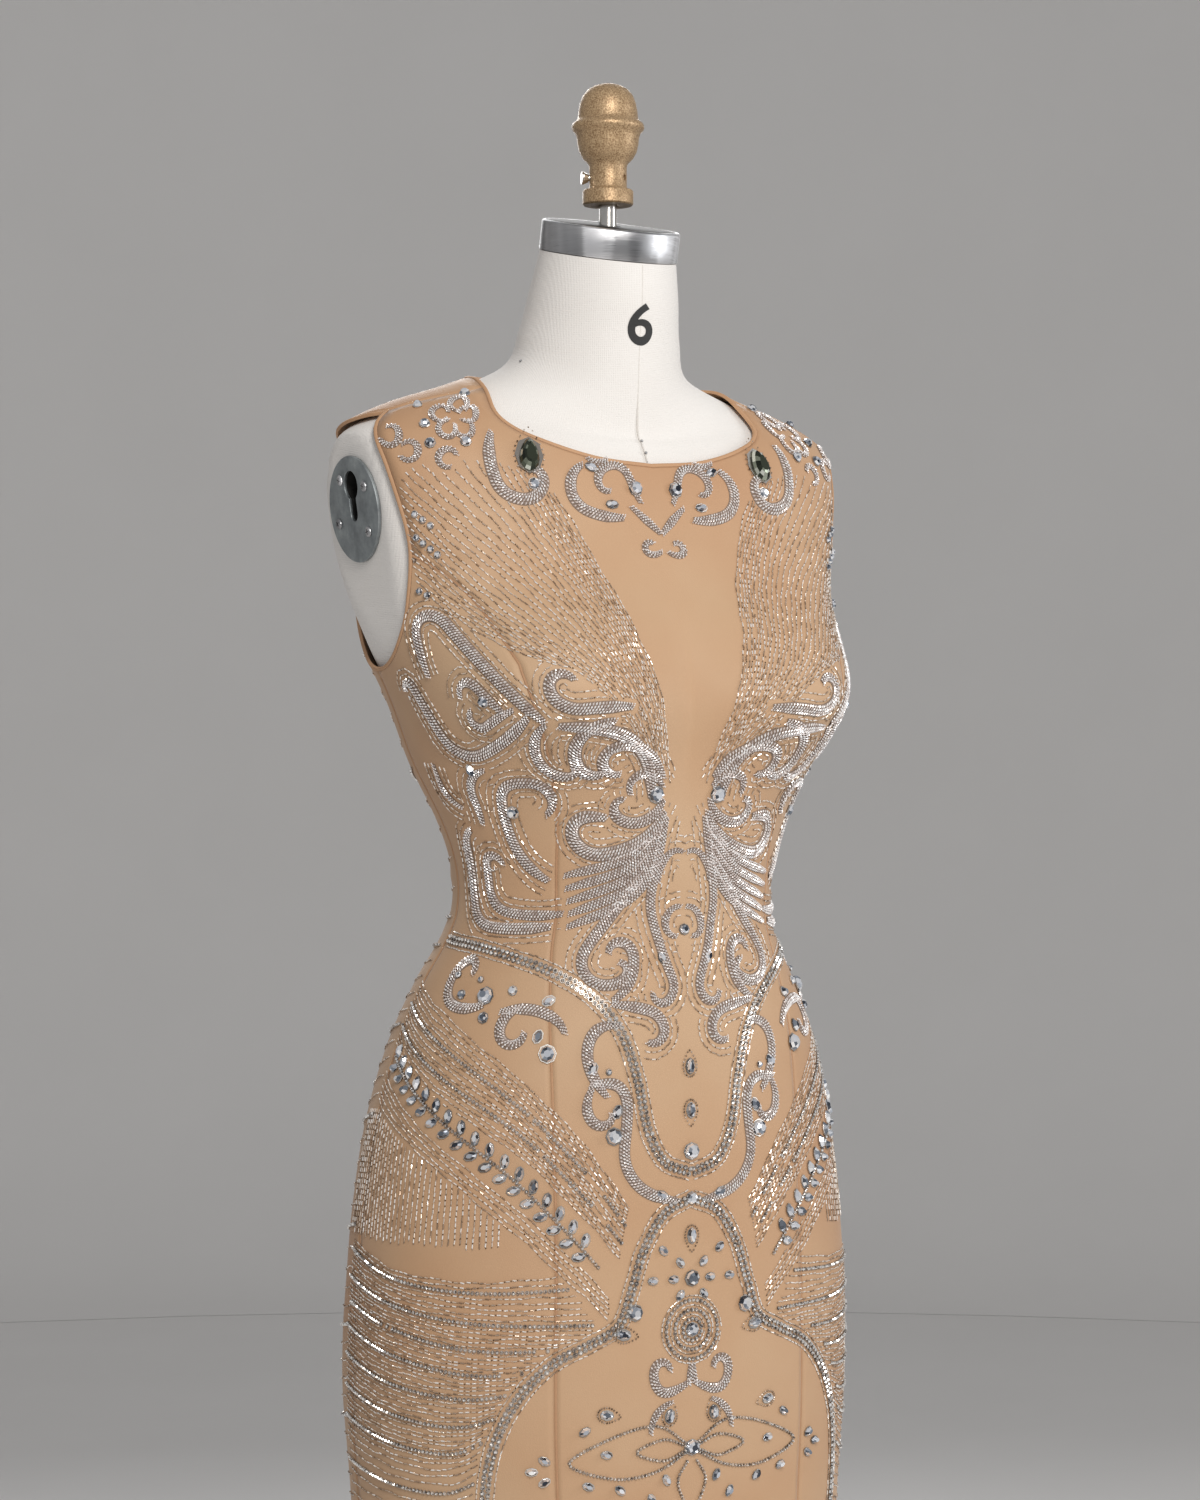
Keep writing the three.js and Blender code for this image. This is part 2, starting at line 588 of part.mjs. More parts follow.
const SLIDER_HEIGHT = 1361;
const SLIDER_LENGTH = 9;
const SLIDER_WIDTH = 6;
const SLIDER_THICKNESS = 2.2;
const SLIDER_BASE = CLOTH_OUTSIDE + 0.8 + SEAM_GAP;
const EAR_THICKNESS = 1.1;
const PULL_WIDTH = 3;
const PIN_RADIUS = 0.8;
const PIN_RISE = 4.6;            // of the pin above the slider's underside
const PIN_CLEARANCE = 0.08;
const EYE_RADIUS = 1.8;
const PULL_LENGTH = 24;
const PULL_TIP_WIDTH = 6;
const PULL_THICKNESS = 1.2;
const PULL_TIP_RISE = 3.6;       // of the tip above the slider's underside

function box(width, depth, height, x, y, z) {
  const geometry = new THREE.BoxGeometry(width, depth, height);
  geometry.translate(x, y, z);
  return geometry;
}

// A cylinder that lies across the back, through a point of the plane x = 0
function crossPin(radius, length, y, z, sides) {
  const geometry = new THREE.CylinderGeometry(radius, radius, length, sides);
  geometry.rotateZ(Math.PI / 2);
  geometry.translate(0, y, z);
  return geometry;
}

const joined = (parts) => parts.map(solidFrom).reduce((all, part) => all.add(part));

// How far the zip leans back at the slider
const sliderNormal = coverNormal(180, SLIDER_HEIGHT);
const sliderLean = Math.atan2(sliderNormal.z, sliderNormal.y);
const sliderOrigin = pointOff(180, SLIDER_HEIGHT, SLIDER_BASE);
const pinPlace = pointOff(180, SLIDER_HEIGHT, SLIDER_BASE + PIN_RISE);

// The slider is drawn with its underside at y = 0 and its length upright, then leant on the zip
function zipSlider() {
  const earOffset = PULL_WIDTH / 2 + 0.15 + EAR_THICKNESS / 2;
  const earTall = PIN_RISE + PIN_RADIUS + 0.5;
  const parts = [
    box(SLIDER_WIDTH, SLIDER_THICKNESS, SLIDER_LENGTH, 0, SLIDER_THICKNESS / 2, 0),
    box(EAR_THICKNESS, earTall - 1, 3.6, -earOffset, (earTall + 1) / 2, 0),
    box(EAR_THICKNESS, earTall - 1, 3.6, earOffset, (earTall + 1) / 2, 0),
    crossPin(PIN_RADIUS, PULL_WIDTH + 1, PIN_RISE, 0, 20),
  ];
  const slider = geometryFrom(joined(parts));
  slider.rotateX(sliderLean);
  slider.translate(0, sliderOrigin.y, sliderOrigin.z);
  return slider;
}

// The pull is drawn hanging straight down from a pin at the origin, then turned to lie along the zip
function zipPull() {
  const outline = new THREE.Shape();
  outline.moveTo(-PULL_WIDTH / 2, 0);
  outline.lineTo(-PULL_WIDTH / 2, -5);
  outline.lineTo(-PULL_TIP_WIDTH / 2, -PULL_LENGTH + 3);
  outline.absarc(0, -PULL_LENGTH + 3, PULL_TIP_WIDTH / 2, Math.PI, 2 * Math.PI, false);
  outline.lineTo(PULL_WIDTH / 2, -5);
  outline.lineTo(PULL_WIDTH / 2, 0);
  const plate = extruded(outline, -PULL_THICKNESS / 2, PULL_THICKNESS / 2, 6);
  plate.rotateX(Math.PI / 2);
  const eye = crossPin(EYE_RADIUS, PULL_WIDTH, 0, 0, 20);
  const hole = crossPin(PIN_RADIUS + PIN_CLEARANCE, PULL_WIDTH + 1, 0, 0, 20);
  const pull = geometryFrom(joined([plate, eye]).subtract(solidFrom(hole)));
  const tip = pointOff(180, SLIDER_HEIGHT - PULL_LENGTH, SLIDER_BASE + PULL_TIP_RISE);
  pull.rotateX(Math.atan2(tip.y - pinPlace.y, pinPlace.z - tip.z));
  pull.translate(0, pinPlace.y, pinPlace.z);
  return pull;
}

addNode(dress, 'zip_slider', zipSlider(), steel);
addNode(dress, 'zip_pull', zipPull(), steel);

// Raised beaded borders

// Smooth path through the rows of a table of places, on the wearer's left from the centre front outwards
function pathThrough(table, count) {
  const rows = numbered(table);
  return steps(0, table.length - 1, count).map((at) => ({
    angle: readTable(rows, 'index', at, 'angle'),
    height: readTable(rows, 'index', at, 'height'),
  }));
}

// The girdle dips to a point of the hip at the centre front and rises to the side seams
const GIRDLE = [
  { angle: 0, height: 850 },
  { angle: 10, height: 858 },
  { angle: 16, height: 880 },
  { angle: 19.5, height: 912 },
  { angle: 25, height: 943 },
  { angle: 35, height: 967 },
  { angle: 50, height: 984 },
  { angle: 72, height: 996 },
  { angle: 95, height: 1001 },
];
const GIRDLE_STEPS = 21;

// The skirt border is an arch that opens into a large oval
const SKIRT_BORDER = [
  { angle: 0, height: 833 },
  { angle: 10, height: 824 },
  { angle: 17, height: 802 },
  { angle: 21, height: 776 },
  { angle: 25, height: 752 },
  { angle: 33, height: 741 },
  { angle: 43, height: 728 },
  { angle: 51, height: 703 },
  { angle: 56, height: 668 },
  { angle: 57.5, height: 625 },
  { angle: 54, height: 576 },
  { angle: 45, height: 535 },
  { angle: 30, height: 508 },
  { angle: 14, height: 496 },
  { angle: 0, height: 493 },
];
const SKIRT_BORDER_STEPS = 34;

// Raised along both sides, with a shallow groove between them
const BORDER_WIDTH = 14;
const BORDER_RISE = 2.4;
const borderProfile = [
  { across: -BORDER_WIDTH / 2, away: TRIM_BASE },
  { across: -BORDER_WIDTH / 4, away: TRIM_BASE + BORDER_RISE },
  { across: 0, away: TRIM_BASE + BORDER_RISE / 2 },
  { across: BORDER_WIDTH / 4, away: TRIM_BASE + BORDER_RISE },
  { across: BORDER_WIDTH / 2, away: TRIM_BASE },
  { across: 0, away: TRIM_BASE },
];

const girdleHalf = pathThrough(GIRDLE, GIRDLE_STEPS);
const girdlePath = [...girdleHalf.slice(1).reverse().map(mirrored), ...girdleHalf];
addNode(dress, 'girdle_border', trimAlong(girdlePath, borderProfile, false), beading);

const skirtHalf = pathThrough(SKIRT_BORDER, SKIRT_BORDER_STEPS);
const skirtPath = [...skirtHalf, ...skirtHalf.slice(1, -1).reverse().map(mirrored)];
addNode(dress, 'skirt_border', trimAlong(skirtPath, borderProfile, true), beading);

// A stone or medallion: rings of points round its middle. `outline` gives the reach at a turn, for a
// reach of 1; each row of `rings` has its share of the reach and how far it stands off the cloth.
function bossSolid(middle, reach, base, rings, sides, outline) {
  const centre = coverPoint(middle.angle, middle.height);
  const radius = Math.hypot(centre.x, centre.y);
  const upRate = coverPoint(middle.angle, middle.height + 1).distanceTo(centre);
  const sections = rings.map((ring) => Array.from({ length: sides }, (_, n) => {
    const turn = (2 * Math.PI * n) / sides;
    const out = reach * ring.share * outline(turn);
    const angle = middle.angle + THREE.MathUtils.radToDeg((out * Math.cos(turn)) / radius);
    return pointOff(angle, middle.height + (out * Math.sin(turn)) / upRate, base + ring.rise);
  }));
  return facingOut(barSolid(sections, false));
}

const MEDALLION = { angle: 0, height: 746, reach: 21 };
const medallionRings = [
  { share: 0.5, rise: 0 },
  { share: 1, rise: 0 },
  { share: 1, rise: 1.6 },
  { share: 0.88, rise: 2.6 },
  { share: 0.74, rise: 1.5 },
  { share: 0.6, rise: 2.6 },
  { share: 0.45, rise: 1.8 },
  { share: 0.34, rise: 3.6 },
  { share: 0.12, rise: 4.6 },
];
addNode(dress, 'medallion', bossSolid(MEDALLION, MEDALLION.reach, STONE_BASE, medallionRings, 16, () => 1), beading);

// The large drop stones on the front shoulders, narrow end up
const SHOULDER_STONE = { angle: 47, height: 1336, halfLength: 12 };
const stoneRings = [
  { share: 0.5, rise: 0 },
  { share: 1, rise: 0 },
  { share: 1, rise: 1.4 },
  { share: 0.6, rise: 4.2 },
  { share: 0.25, rise: 4.6 },
];
const dropOutline = (turn) => (0.78 + 0.22 * Math.sin(turn) ** 2) * (1 - 0.1 * Math.sin(turn));
for (const [name, side] of [['left', 1], ['right', -1]]) {
  const middle = { angle: side * SHOULDER_STONE.angle, height: SHOULDER_STONE.height };
  const stone = bossSolid(middle, SHOULDER_STONE.halfLength, STONE_BASE, stoneRings, 14, dropOutline);
  addNode(dress, `shoulder_stone_${name}`, stone, crystal);
}

// The form: one linen-covered body and neck, cut level at the bottom, with flat seats for the arm plates

const PLATE_RADIUS = 36;
const PLATE_THICKNESS = 2.5;
const PLATE_HEIGHT = 1292;
const PLATE_BACK = 35;           // how far the plates' middles lie behind the pole
const PLATE_SIDE = 175;          // the seat's distance from the pole's plane, at the plate's middle
const PLATE_SLOPE = 0.14;        // the seat slants in as it goes down
const seatAt = (height) => PLATE_SIDE + PLATE_SLOPE * (height - PLATE_HEIGHT);
const SEAT_TOP = 1342;
const KEYHOLE_RADIUS = 10;
const KEYHOLE_RISE = 16;         // of the round end above the plate's middle
const KEYHOLE_SLOT = 5.2;        // half the slot's width
const KEYHOLE_FOOT = -3;         // where the slot's round end is centred, from the plate's middle
const KEYHOLE_DEPTH = 9;         // of the pocket behind it
const POLE_RADIUS = 16;
const POLE_SOCKET = 60;          // how far the pole goes up into the form
const SHAFT_RADIUS = 6;          // of the steel rod between the neck and the knob
const SHAFT_SOCKET = 40;
const BORE_CLEARANCE = 0.3;

const neckTilt = SECTIONS.at(-1).lean;

function formCover() {
  const columns = 36;
  const rows = [
    FORM_BOTTOM, 735, 810, 870, 915, 952, 985, 1015, 1050, 1085, 1115, 1142,
    1165, 1190, 1222, 1255, 1290, 1318, 1338, 1354, 1368, 1380, 1392, 1415, 1445, NECK_TOP,
  ];
  const sections = rows.map((height) => Array.from({ length: columns }, (_, c) => {
    const ease = FORM_EASE * THREE.MathUtils.smoothstep(-height, -1400, -1370);
    const point = pointOff((360 * c) / columns, height, -ease);
    if (height < SEAT_TOP) {
      const seat = seatAt(point.z);
      point.x = THREE.MathUtils.clamp(point.x, -seat, seat);
    }
    if (height === FORM_BOTTOM) point.z = FORM_BOTTOM;
    return point;
  }));
  return facingOut(barSolid(sections, false));
}

// An upright cylinder on the pole's axis
function upright(radius, bottom, top, sides) {
  const geometry = new THREE.CylinderGeometry(radius, radius, top - bottom, sides);
  geometry.rotateX(Math.PI / 2);
  geometry.translate(0, 0, (top + bottom) / 2);
  return geometry;
}

// The keyhole in an arm plate, drawn around the plate's middle
function keyholePath(growth) {
  const outline = new THREE.Path();
  const round = KEYHOLE_RADIUS + growth;
  const slot = KEYHOLE_SLOT + growth;
  const meet = Math.asin(slot / round);
  outline.absarc(0, KEYHOLE_RISE, round, -Math.PI / 2 + meet, 1.5 * Math.PI - meet, false);
  outline.absarc(0, KEYHOLE_FOOT, slot, Math.PI, 2 * Math.PI, false);
  return outline;
}

// Puts a shape drawn flat, facing up, onto the seat at one side: its own up becomes the seat's outside
function ontoSeat(geometry, side) {
  const outwards = new THREE.Vector3(side, 0, -side * side * PLATE_SLOPE).normalize();
  const backwards = new THREE.Vector3(0, side, 0);
  const upwards = outwards.clone().cross(backwards);
  const turn = new THREE.Matrix4().makeBasis(backwards, upwards, outwards);
  turn.setPosition(side * PLATE_SIDE, PLATE_BACK, PLATE_HEIGHT);
  geometry.applyMatrix4(turn);
  return geometry;
}

function keyholePocket(side) {
  const shape = new THREE.Shape(keyholePath(1).getPoints(10));
  return ontoSeat(extruded(shape, -KEYHOLE_DEPTH, 2, 10), side);
}

function formTorso() {
  const tools = [
    upright(POLE_RADIUS + BORE_CLEARANCE, FORM_BOTTOM - 1, FORM_BOTTOM + POLE_SOCKET, 24),
    upright(SHAFT_RADIUS + BORE_CLEARANCE, NECK_TOP - SHAFT_SOCKET, NECK_TOP + 20, 20),
    keyholePocket(1),
    keyholePocket(-1),
  ];
  return cutFrom(formCover(), tools);
}

addNode(form, 'form_torso', formTorso(), linen);

// The arm plates and the screws that hold them

const SCREW_RADIUS = 3.6;
const SCREW_HEAD = 1.6;
const SCREW_CIRCLE = 25;
const SCREW_TURNS = [35, 125, 200, 320];    // degrees, from the back upwards

function armPlate(side) {
  const shape = new THREE.Shape();
  shape.absarc(0, 0, PLATE_RADIUS, 0, 2 * Math.PI, false);
  shape.holes.push(keyholePath(0));
  return facingOut(ontoSeat(extruded(shape, SEAM_GAP, SEAM_GAP + PLATE_THICKNESS, 10), side));
}

function armScrew(side, turn) {
  const base = 2 * SEAM_GAP + PLATE_THICKNESS;
  const head = new THREE.CylinderGeometry(SCREW_RADIUS * 0.7, SCREW_RADIUS, SCREW_HEAD, 9);
  head.rotateX(Math.PI / 2);
  const x = SCREW_CIRCLE * Math.cos(degrees(turn));
  const y = SCREW_CIRCLE * Math.sin(degrees(turn));
  head.translate(x, y, base + SCREW_HEAD / 2);
  return facingOut(ontoSeat(head, side));
}

for (const [name, side] of [['left', 1], ['right', -1]]) {
  addNode(form, `arm_plate_${name}`, armPlate(side), zinc);
  SCREW_TURNS.forEach((turn, n) => addNode(form, `arm_screw_${name}_${n + 1}`, armScrew(side, turn), zinc));
}

// The metal cap on the neck follows the neck's lean

const CAP_RISE = 21;
const capRings = [
  { radius: 46.5, rise: SEAM_GAP },
  { radius: 47.6, rise: 1.5 },
  { radius: 47.6, rise: CAP_RISE - 1.5 },
  { radius: 46.5, rise: CAP_RISE },
];

function neckCap() {
  const sides = 32;
  const lean = Math.hypot(1, neckTilt);
  const sections = capRings.map((ring) => Array.from({ length: sides }, (_, n) => {
    const turn = (2 * Math.PI * n) / sides;
    const x = ring.radius * Math.sin(turn);
    const y = -ring.radius * Math.cos(turn);
    const drift = (-ring.rise * neckTilt) / lean;
    return new THREE.Vector3(x, y + drift, NECK_TOP + neckTilt * y + ring.rise / lean);
  }));
  const cap = facingOut(barSolid(sections, false));
  return cutFrom(cap, [upright(SHAFT_RADIUS + BORE_CLEARANCE, NECK_TOP - 30, NECK_TOP + 60, 20)]);
}

addNode(form, 'neck_cap', neckCap(), steel);

// The knob is turned in one piece and stands on its rod

const KNOB_BASE = 1505;
const KNOB_SOCKET = 40;
const knobProfile = [
  { radius: 0, height: 0 },
  { radius: 17.5, height: 0 },
  { radius: 17.5, height: 10.5 },
  { radius: 13, height: 12 },
  { radius: 13, height: 29.5 },
  { radius: 17, height: 35 },
  { radius: 21, height: 44 },
  { radius: 21.8, height: 49 },
  { radius: 25, height: 51.5 },
  { radius: 25, height: 56.5 },
  { radius: 20.8, height: 59 },
  { radius: 19.5, height: 70 },
  { radius: 14.5, height: 79 },
  { radius: 7, height: 83.2 },
  { radius: 0, height: 84 },
];
const SET_SCREW_HEIGHT = 18.5;   // above the knob's base
const SET_HOLE_TURN = 34;        // degrees from the front
const THUMB_SCREW_TURN = -112;
const THUMB_SHANK = 2.2;
const THUMB_HEAD_RADIUS = 4.6;
const THUMB_HEAD_LENGTH = 5;
const THUMB_GAP = 0.4;           // between its head and the knob's side

// A cylinder that lies level and points away from the axis, from one distance to another
function spoke(radius, from, to, turnDegrees, height, sides) {
  const geometry = new THREE.CylinderGeometry(radius, radius, to - from, sides);
  geometry.translate(0, -(from + to) / 2, 0);
  geometry.rotateZ(degrees(turnDegrees));
  geometry.translate(0, 0, height);
  return geometry;
}

function knob() {
  const outline = knobProfile.map((p) => new THREE.Vector2(p.radius, p.height));
  const body = new THREE.LatheGeometry(outline, 24);
  body.rotateX(Math.PI / 2);
  body.translate(0, 0, KNOB_BASE);
  const height = KNOB_BASE + SET_SCREW_HEIGHT;
  return cutFrom(facingOut(body), [
    upright(SHAFT_RADIUS + BORE_CLEARANCE, KNOB_BASE - 1, KNOB_BASE + KNOB_SOCKET, 20),
    spoke(THUMB_SHANK + BORE_CLEARANCE, 3, 20, THUMB_SCREW_TURN, height, 12),
    spoke(THUMB_SHANK, 3, 20, SET_HOLE_TURN, height, 12),
  ]);
}

function thumbScrew() {
  const height = KNOB_BASE + SET_SCREW_HEIGHT;
  const headStart = 13 + THUMB_GAP;
  const shank = spoke(THUMB_SHANK, SHAFT_RADIUS + SEAM_GAP, headStart + 1, THUMB_SCREW_TURN, height, 12);
  const headEnd = headStart + THUMB_HEAD_LENGTH;
  const head = spoke(THUMB_HEAD_RADIUS, headStart, headEnd, THUMB_SCREW_TURN, height, 16);
  return geometryFrom(solidFrom(shank).add(solidFrom(head)));
}

addNode(form, 'knob', knob(), bronze);
addNode(form, 'thumb_screw', thumbScrew(), steel);
addNode(form, 'knob_rod', upright(SHAFT_RADIUS, NECK_TOP - SHAFT_SOCKET + SEAM_GAP, KNOB_BASE + KNOB_SOCKET - SEAM_GAP, 20), steel);

// The pole and its round foot

const FOOT_RADIUS = 150;
const FOOT_THICKNESS = 12;
const HUB_RADIUS = 25;
const HUB_TOP = 38;
const POLE_SEAT = 10;            // how deep the pole stands in the foot

function foot() {
  const outline = [
    [0, 0], [FOOT_RADIUS - 2, 0], [FOOT_RADIUS, 2], [FOOT_RADIUS, FOOT_THICKNESS - 3],
    [FOOT_RADIUS - 4, FOOT_THICKNESS], [HUB_RADIUS + 4, FOOT_THICKNESS + 2], [HUB_RADIUS, FOOT_THICKNESS + 7],
    [HUB_RADIUS, HUB_TOP - 2], [HUB_RADIUS - 2, HUB_TOP], [0, HUB_TOP],
  ].map(([radius, height]) => new THREE.Vector2(radius, height));
  const body = new THREE.LatheGeometry(outline, 32);
  body.rotateX(Math.PI / 2);
  return cutFrom(facingOut(body), [upright(POLE_RADIUS + BORE_CLEARANCE, POLE_SEAT, HUB_TOP + 1, 24)]);
}

addNode(form, 'pole', upright(POLE_RADIUS, POLE_SEAT + SEAM_GAP, FORM_BOTTOM + POLE_SOCKET - SEAM_GAP, 24), enamel);
addNode(form, 'foot', foot(), enamel);

export default garmentOnForm;
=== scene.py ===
# Beaded sheath evening dress on a size 6 dress form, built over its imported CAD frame, in metres.
# The wearer's front faces -Y and the wearer's left is +X. The origin is on the floor under the pole.

import math

import bpy
import numpy as np
from mathutils import Matrix, Vector


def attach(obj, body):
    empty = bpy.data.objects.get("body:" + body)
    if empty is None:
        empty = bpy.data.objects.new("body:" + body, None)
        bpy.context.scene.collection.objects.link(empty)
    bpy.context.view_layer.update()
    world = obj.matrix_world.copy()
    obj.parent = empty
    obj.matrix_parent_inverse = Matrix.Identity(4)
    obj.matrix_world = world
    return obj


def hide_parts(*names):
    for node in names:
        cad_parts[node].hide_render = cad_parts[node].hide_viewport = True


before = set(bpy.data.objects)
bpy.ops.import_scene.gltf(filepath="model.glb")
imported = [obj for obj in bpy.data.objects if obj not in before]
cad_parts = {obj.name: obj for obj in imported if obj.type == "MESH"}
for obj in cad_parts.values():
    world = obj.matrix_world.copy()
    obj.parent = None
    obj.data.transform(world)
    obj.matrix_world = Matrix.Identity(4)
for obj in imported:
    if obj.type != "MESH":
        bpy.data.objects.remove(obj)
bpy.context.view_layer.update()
BODY = "gown_and_form"

# The camera
# It stands level at bust height, to the wearer's right of the front, and takes in everything from the
# knob to above the knees.

MILLIMETRE = 0.001
CAMERA_TURN = math.radians(-30)
CAMERA_DISTANCE = 2.442
CAMERA_SHIFT = -0.0055
CAMERA_HEIGHT = 1.1297

bpy.ops.object.camera_add()
camera = bpy.context.object
camera.name = "camera"
camera.data.lens = 85
camera.data.sensor_width = 36
camera.data.sensor_fit = "AUTO"
back = Vector((math.sin(CAMERA_TURN), -math.cos(CAMERA_TURN), 0))
right = Vector((math.cos(CAMERA_TURN), math.sin(CAMERA_TURN), 0))
camera.location = back * CAMERA_DISTANCE + right * CAMERA_SHIFT + Vector((0, 0, CAMERA_HEIGHT))
camera.rotation_euler = (math.radians(90), 0, CAMERA_TURN)
bpy.context.scene.camera = camera
bpy.context.scene.view_settings.view_transform = "Standard"


# Finishes
# A finish is one material. Its pattern is written as sums on values, which add their own nodes.

class Value:
    """A number that varies over a surface. Arithmetic on it adds Math nodes to its finish."""

    def __init__(self, finish, socket):
        self.finish = finish
        self.socket = socket

    def maths(self, operation, *others):
        inputs = dict(enumerate((self, *others)))
        return self.finish.node("ShaderNodeMath", {"operation": operation}, inputs)

    def __add__(self, other):
        return self.maths("ADD", other)

    def __mul__(self, other):
        return self.maths("MULTIPLY", other)

    def sine(self):
        return self.maths("SINE")


class Finish:
    """A material on Blender's Principled shader. Constants are set on the shader's own sockets."""

    def __init__(self, name, **constants):
        self.material = bpy.data.materials.new(name)
        self.material.use_nodes = True
        self.tree = self.material.node_tree
        self.shader = self.tree.nodes["Principled BSDF"]
        for socket, value in constants.items():
            self.shader.inputs[socket.replace("_", " ")].default_value = value

    def node(self, kind, settings=None, inputs=None, output=0):
        made = self.tree.nodes.new(kind)
        for setting, value in (settings or {}).items():
            setattr(made, setting, value)
        for key, value in (inputs or {}).items():
            socket = made.inputs[key]
            if isinstance(value, Value):
                self.tree.links.new(value.socket, socket)
            else:
                socket.default_value = value
        return Value(self, made.outputs[output])

    def place(self):
        """Where a point of the surface is in its own object."""
        return self.node("ShaderNodeTexCoord", output="Object")

    def parts_of(self, vector):
        split = self.node("ShaderNodeSeparateXYZ", inputs={0: vector}).socket.node
        return [Value(self, split.outputs[n]) for n in range(3)]

    def joined(self, *parts):
        return self.node("ShaderNodeCombineXYZ", inputs=dict(enumerate(parts)))

    def noise(self, vector, scale, detail=2.0, roughness=0.5):
        inputs = {"Vector": vector, "Scale": scale, "Detail": detail, "Roughness": roughness}
        return self.node("ShaderNodeTexNoise", inputs=inputs)

    def attribute(self, name):
        return self.node("ShaderNodeAttribute", {"attribute_name": name}, output="Fac")

    def mixed(self, share, first, second):
        """A colour between two others."""
        inputs = {0: share, 6: (*first, 1), 7: (*second, 1)}
        return self.node("ShaderNodeMix", {"data_type": "RGBA"}, inputs, output=2)

    def ramp(self, share, stops):
        """A colour read from a row of (position, colour) stops."""
        made = self.node("ShaderNodeValToRGB", inputs={0: share})
        elements = made.socket.node.color_ramp.elements
        while len(elements) < len(stops):
            elements.new(0.5)
        for element, (position, colour) in zip(elements, stops):
            element.position = position
            element.color = (*colour, 1)
        return made

    def set(self, socket, value):
        self.tree.links.new(value.socket, self.shader.inputs[socket])

    def bump(self, height, distance, strength=1.0):
        inputs = {"Strength": strength, "Distance": distance, "Height": height}
        self.set("Normal", self.node("ShaderNodeBump", inputs=inputs))

    def mottle(self, scale, detail, first, second):
        """Sets a base colour that drifts between two others."""
        self.set("Base Color", self.mixed(self.noise(self.place(), scale, detail), first, second))

    def shade_by(self, attribute, stops):
        """Sets a base colour that each bead, or each face of a stone, reads from a row of stops."""
        self.set("Base Color", self.ramp(self.attribute(attribute), stops))


# Meshes
# Their points are given in millimetres, and the objects made from them are in metres.

def new_piece(name, mesh):
    piece = bpy.data.objects.new(name, mesh)
    bpy.context.collection.objects.link(piece)
    return piece


def mesh_piece(name, points, faces, map_points=None):
    """A new object from points in millimetres; map_points gives each point its place on the flat cloth."""
    mesh = bpy.data.meshes.new(name)
    corners = np.asarray(points).reshape(-1, 3) * MILLIMETRE
    mesh.from_pydata(corners.tolist(), [], [list(face) for face in faces])
    if map_points is not None:
        layer = mesh.uv_layers.new(name="cloth")
        used = np.empty(len(mesh.loops), int)
        mesh.loops.foreach_get("vertex_index", used)
        layer.data.foreach_set("uv", np.asarray(map_points).reshape(-1, 2)[used].ravel())
    return new_piece(name, mesh)


def grid_faces(rows, columns, is_ring=False):
    """Quads between a grid's neighbouring points, facing out where rows go up and columns to the left."""
    spans = columns if is_ring else columns - 1
    row, column = np.meshgrid(np.arange(rows - 1), np.arange(spans), indexing="ij")
    here = row * columns + column
    beside = row * columns + (column + 1) % columns
    return np.stack([here, beside, beside + columns, here + columns], -1).reshape(-1, 4)


def capped_faces(rows, columns):
    """The faces of a tube of rings that is closed at both ends."""
    last = (rows - 1) * columns
    sides = grid_faces(rows, columns, is_ring=True).tolist()
    return [range(columns - 1, -1, -1), *sides, range(last, last + columns)]


# The studio
# A plain pale floor with a paper sweep behind the dress, a large soft light above and in front of it,
# on the wearer's right, a weaker one from the other side, and one behind that rims the shoulders.

FLOOR_RADIUS = 6.0
SWEEP_START = 4.7
SWEEP_RADIUS = 1.1
SWEEP_STEPS = 14
SWEEP_HALF_ANGLE = 80
SWEEP_COLUMNS = 33
WALL_TOP = 5

bpy.ops.object.select_all(action="DESELECT")
bpy.ops.mesh.primitive_circle_add(
    vertices=128, radius=FLOOR_RADIUS, fill_type="NGON", location=(0, 0, -0.0005),
)
studio = bpy.context.object
studio.name = "studio_floor"
floor_finish = Finish("pale floor", Roughness=0.85)
floor_finish.mottle(3.0, 3.0, (0.72, 0.71, 0.7), (0.76, 0.75, 0.74))
studio.data.materials.append(floor_finish.material)
bends = np.radians(np.linspace(0, 90, SWEEP_STEPS))
sweep_rows = [
    (SWEEP_START + SWEEP_RADIUS * math.sin(bend), SWEEP_RADIUS * (1 - math.cos(bend))) for bend in bends
] + [(SWEEP_START + SWEEP_RADIUS, WALL_TOP)]
sweep_turns = np.radians(np.linspace(-SWEEP_HALF_ANGLE, SWEEP_HALF_ANGLE, SWEEP_COLUMNS)) - CAMERA_TURN
sweep_points = np.array([
    (reach * math.sin(turn), reach * math.cos(turn), height)
    for reach, height in sweep_rows for turn in sweep_turns
])
sweep = mesh_piece("studio_sweep", sweep_points / MILLIMETRE, grid_faces(len(sweep_rows), SWEEP_COLUMNS))
sweep.data.polygons.foreach_set("use_smooth", [True] * len(sweep.data.polygons))
sweep.data.materials.append(floor_finish.material)

world = bpy.data.worlds.new("studio air")
bpy.context.scene.world = world
world.use_nodes = True
background = world.node_tree.nodes["Background"]
background.inputs["Color"].default_value = (0.88, 0.88, 0.89, 1)
background.inputs["Strength"].default_value = 0.4


def add_light(name, position, size, power, colour=(1, 1, 1)):
    """A rectangular lamp that faces the dress at chest height."""
    bpy.ops.object.light_add(type="AREA", location=position)
    light = bpy.context.object
    light.name = name
    light.data.shape = "RECTANGLE"
    light.data.size = size[0]
    light.data.size_y = size[1]
    light.data.energy = power
    light.data.color = colour
    aim = Vector((0, 0, 1.05)) - Vector(position)
    light.rotation_euler = aim.to_track_quat("-Z", "Y").to_euler()


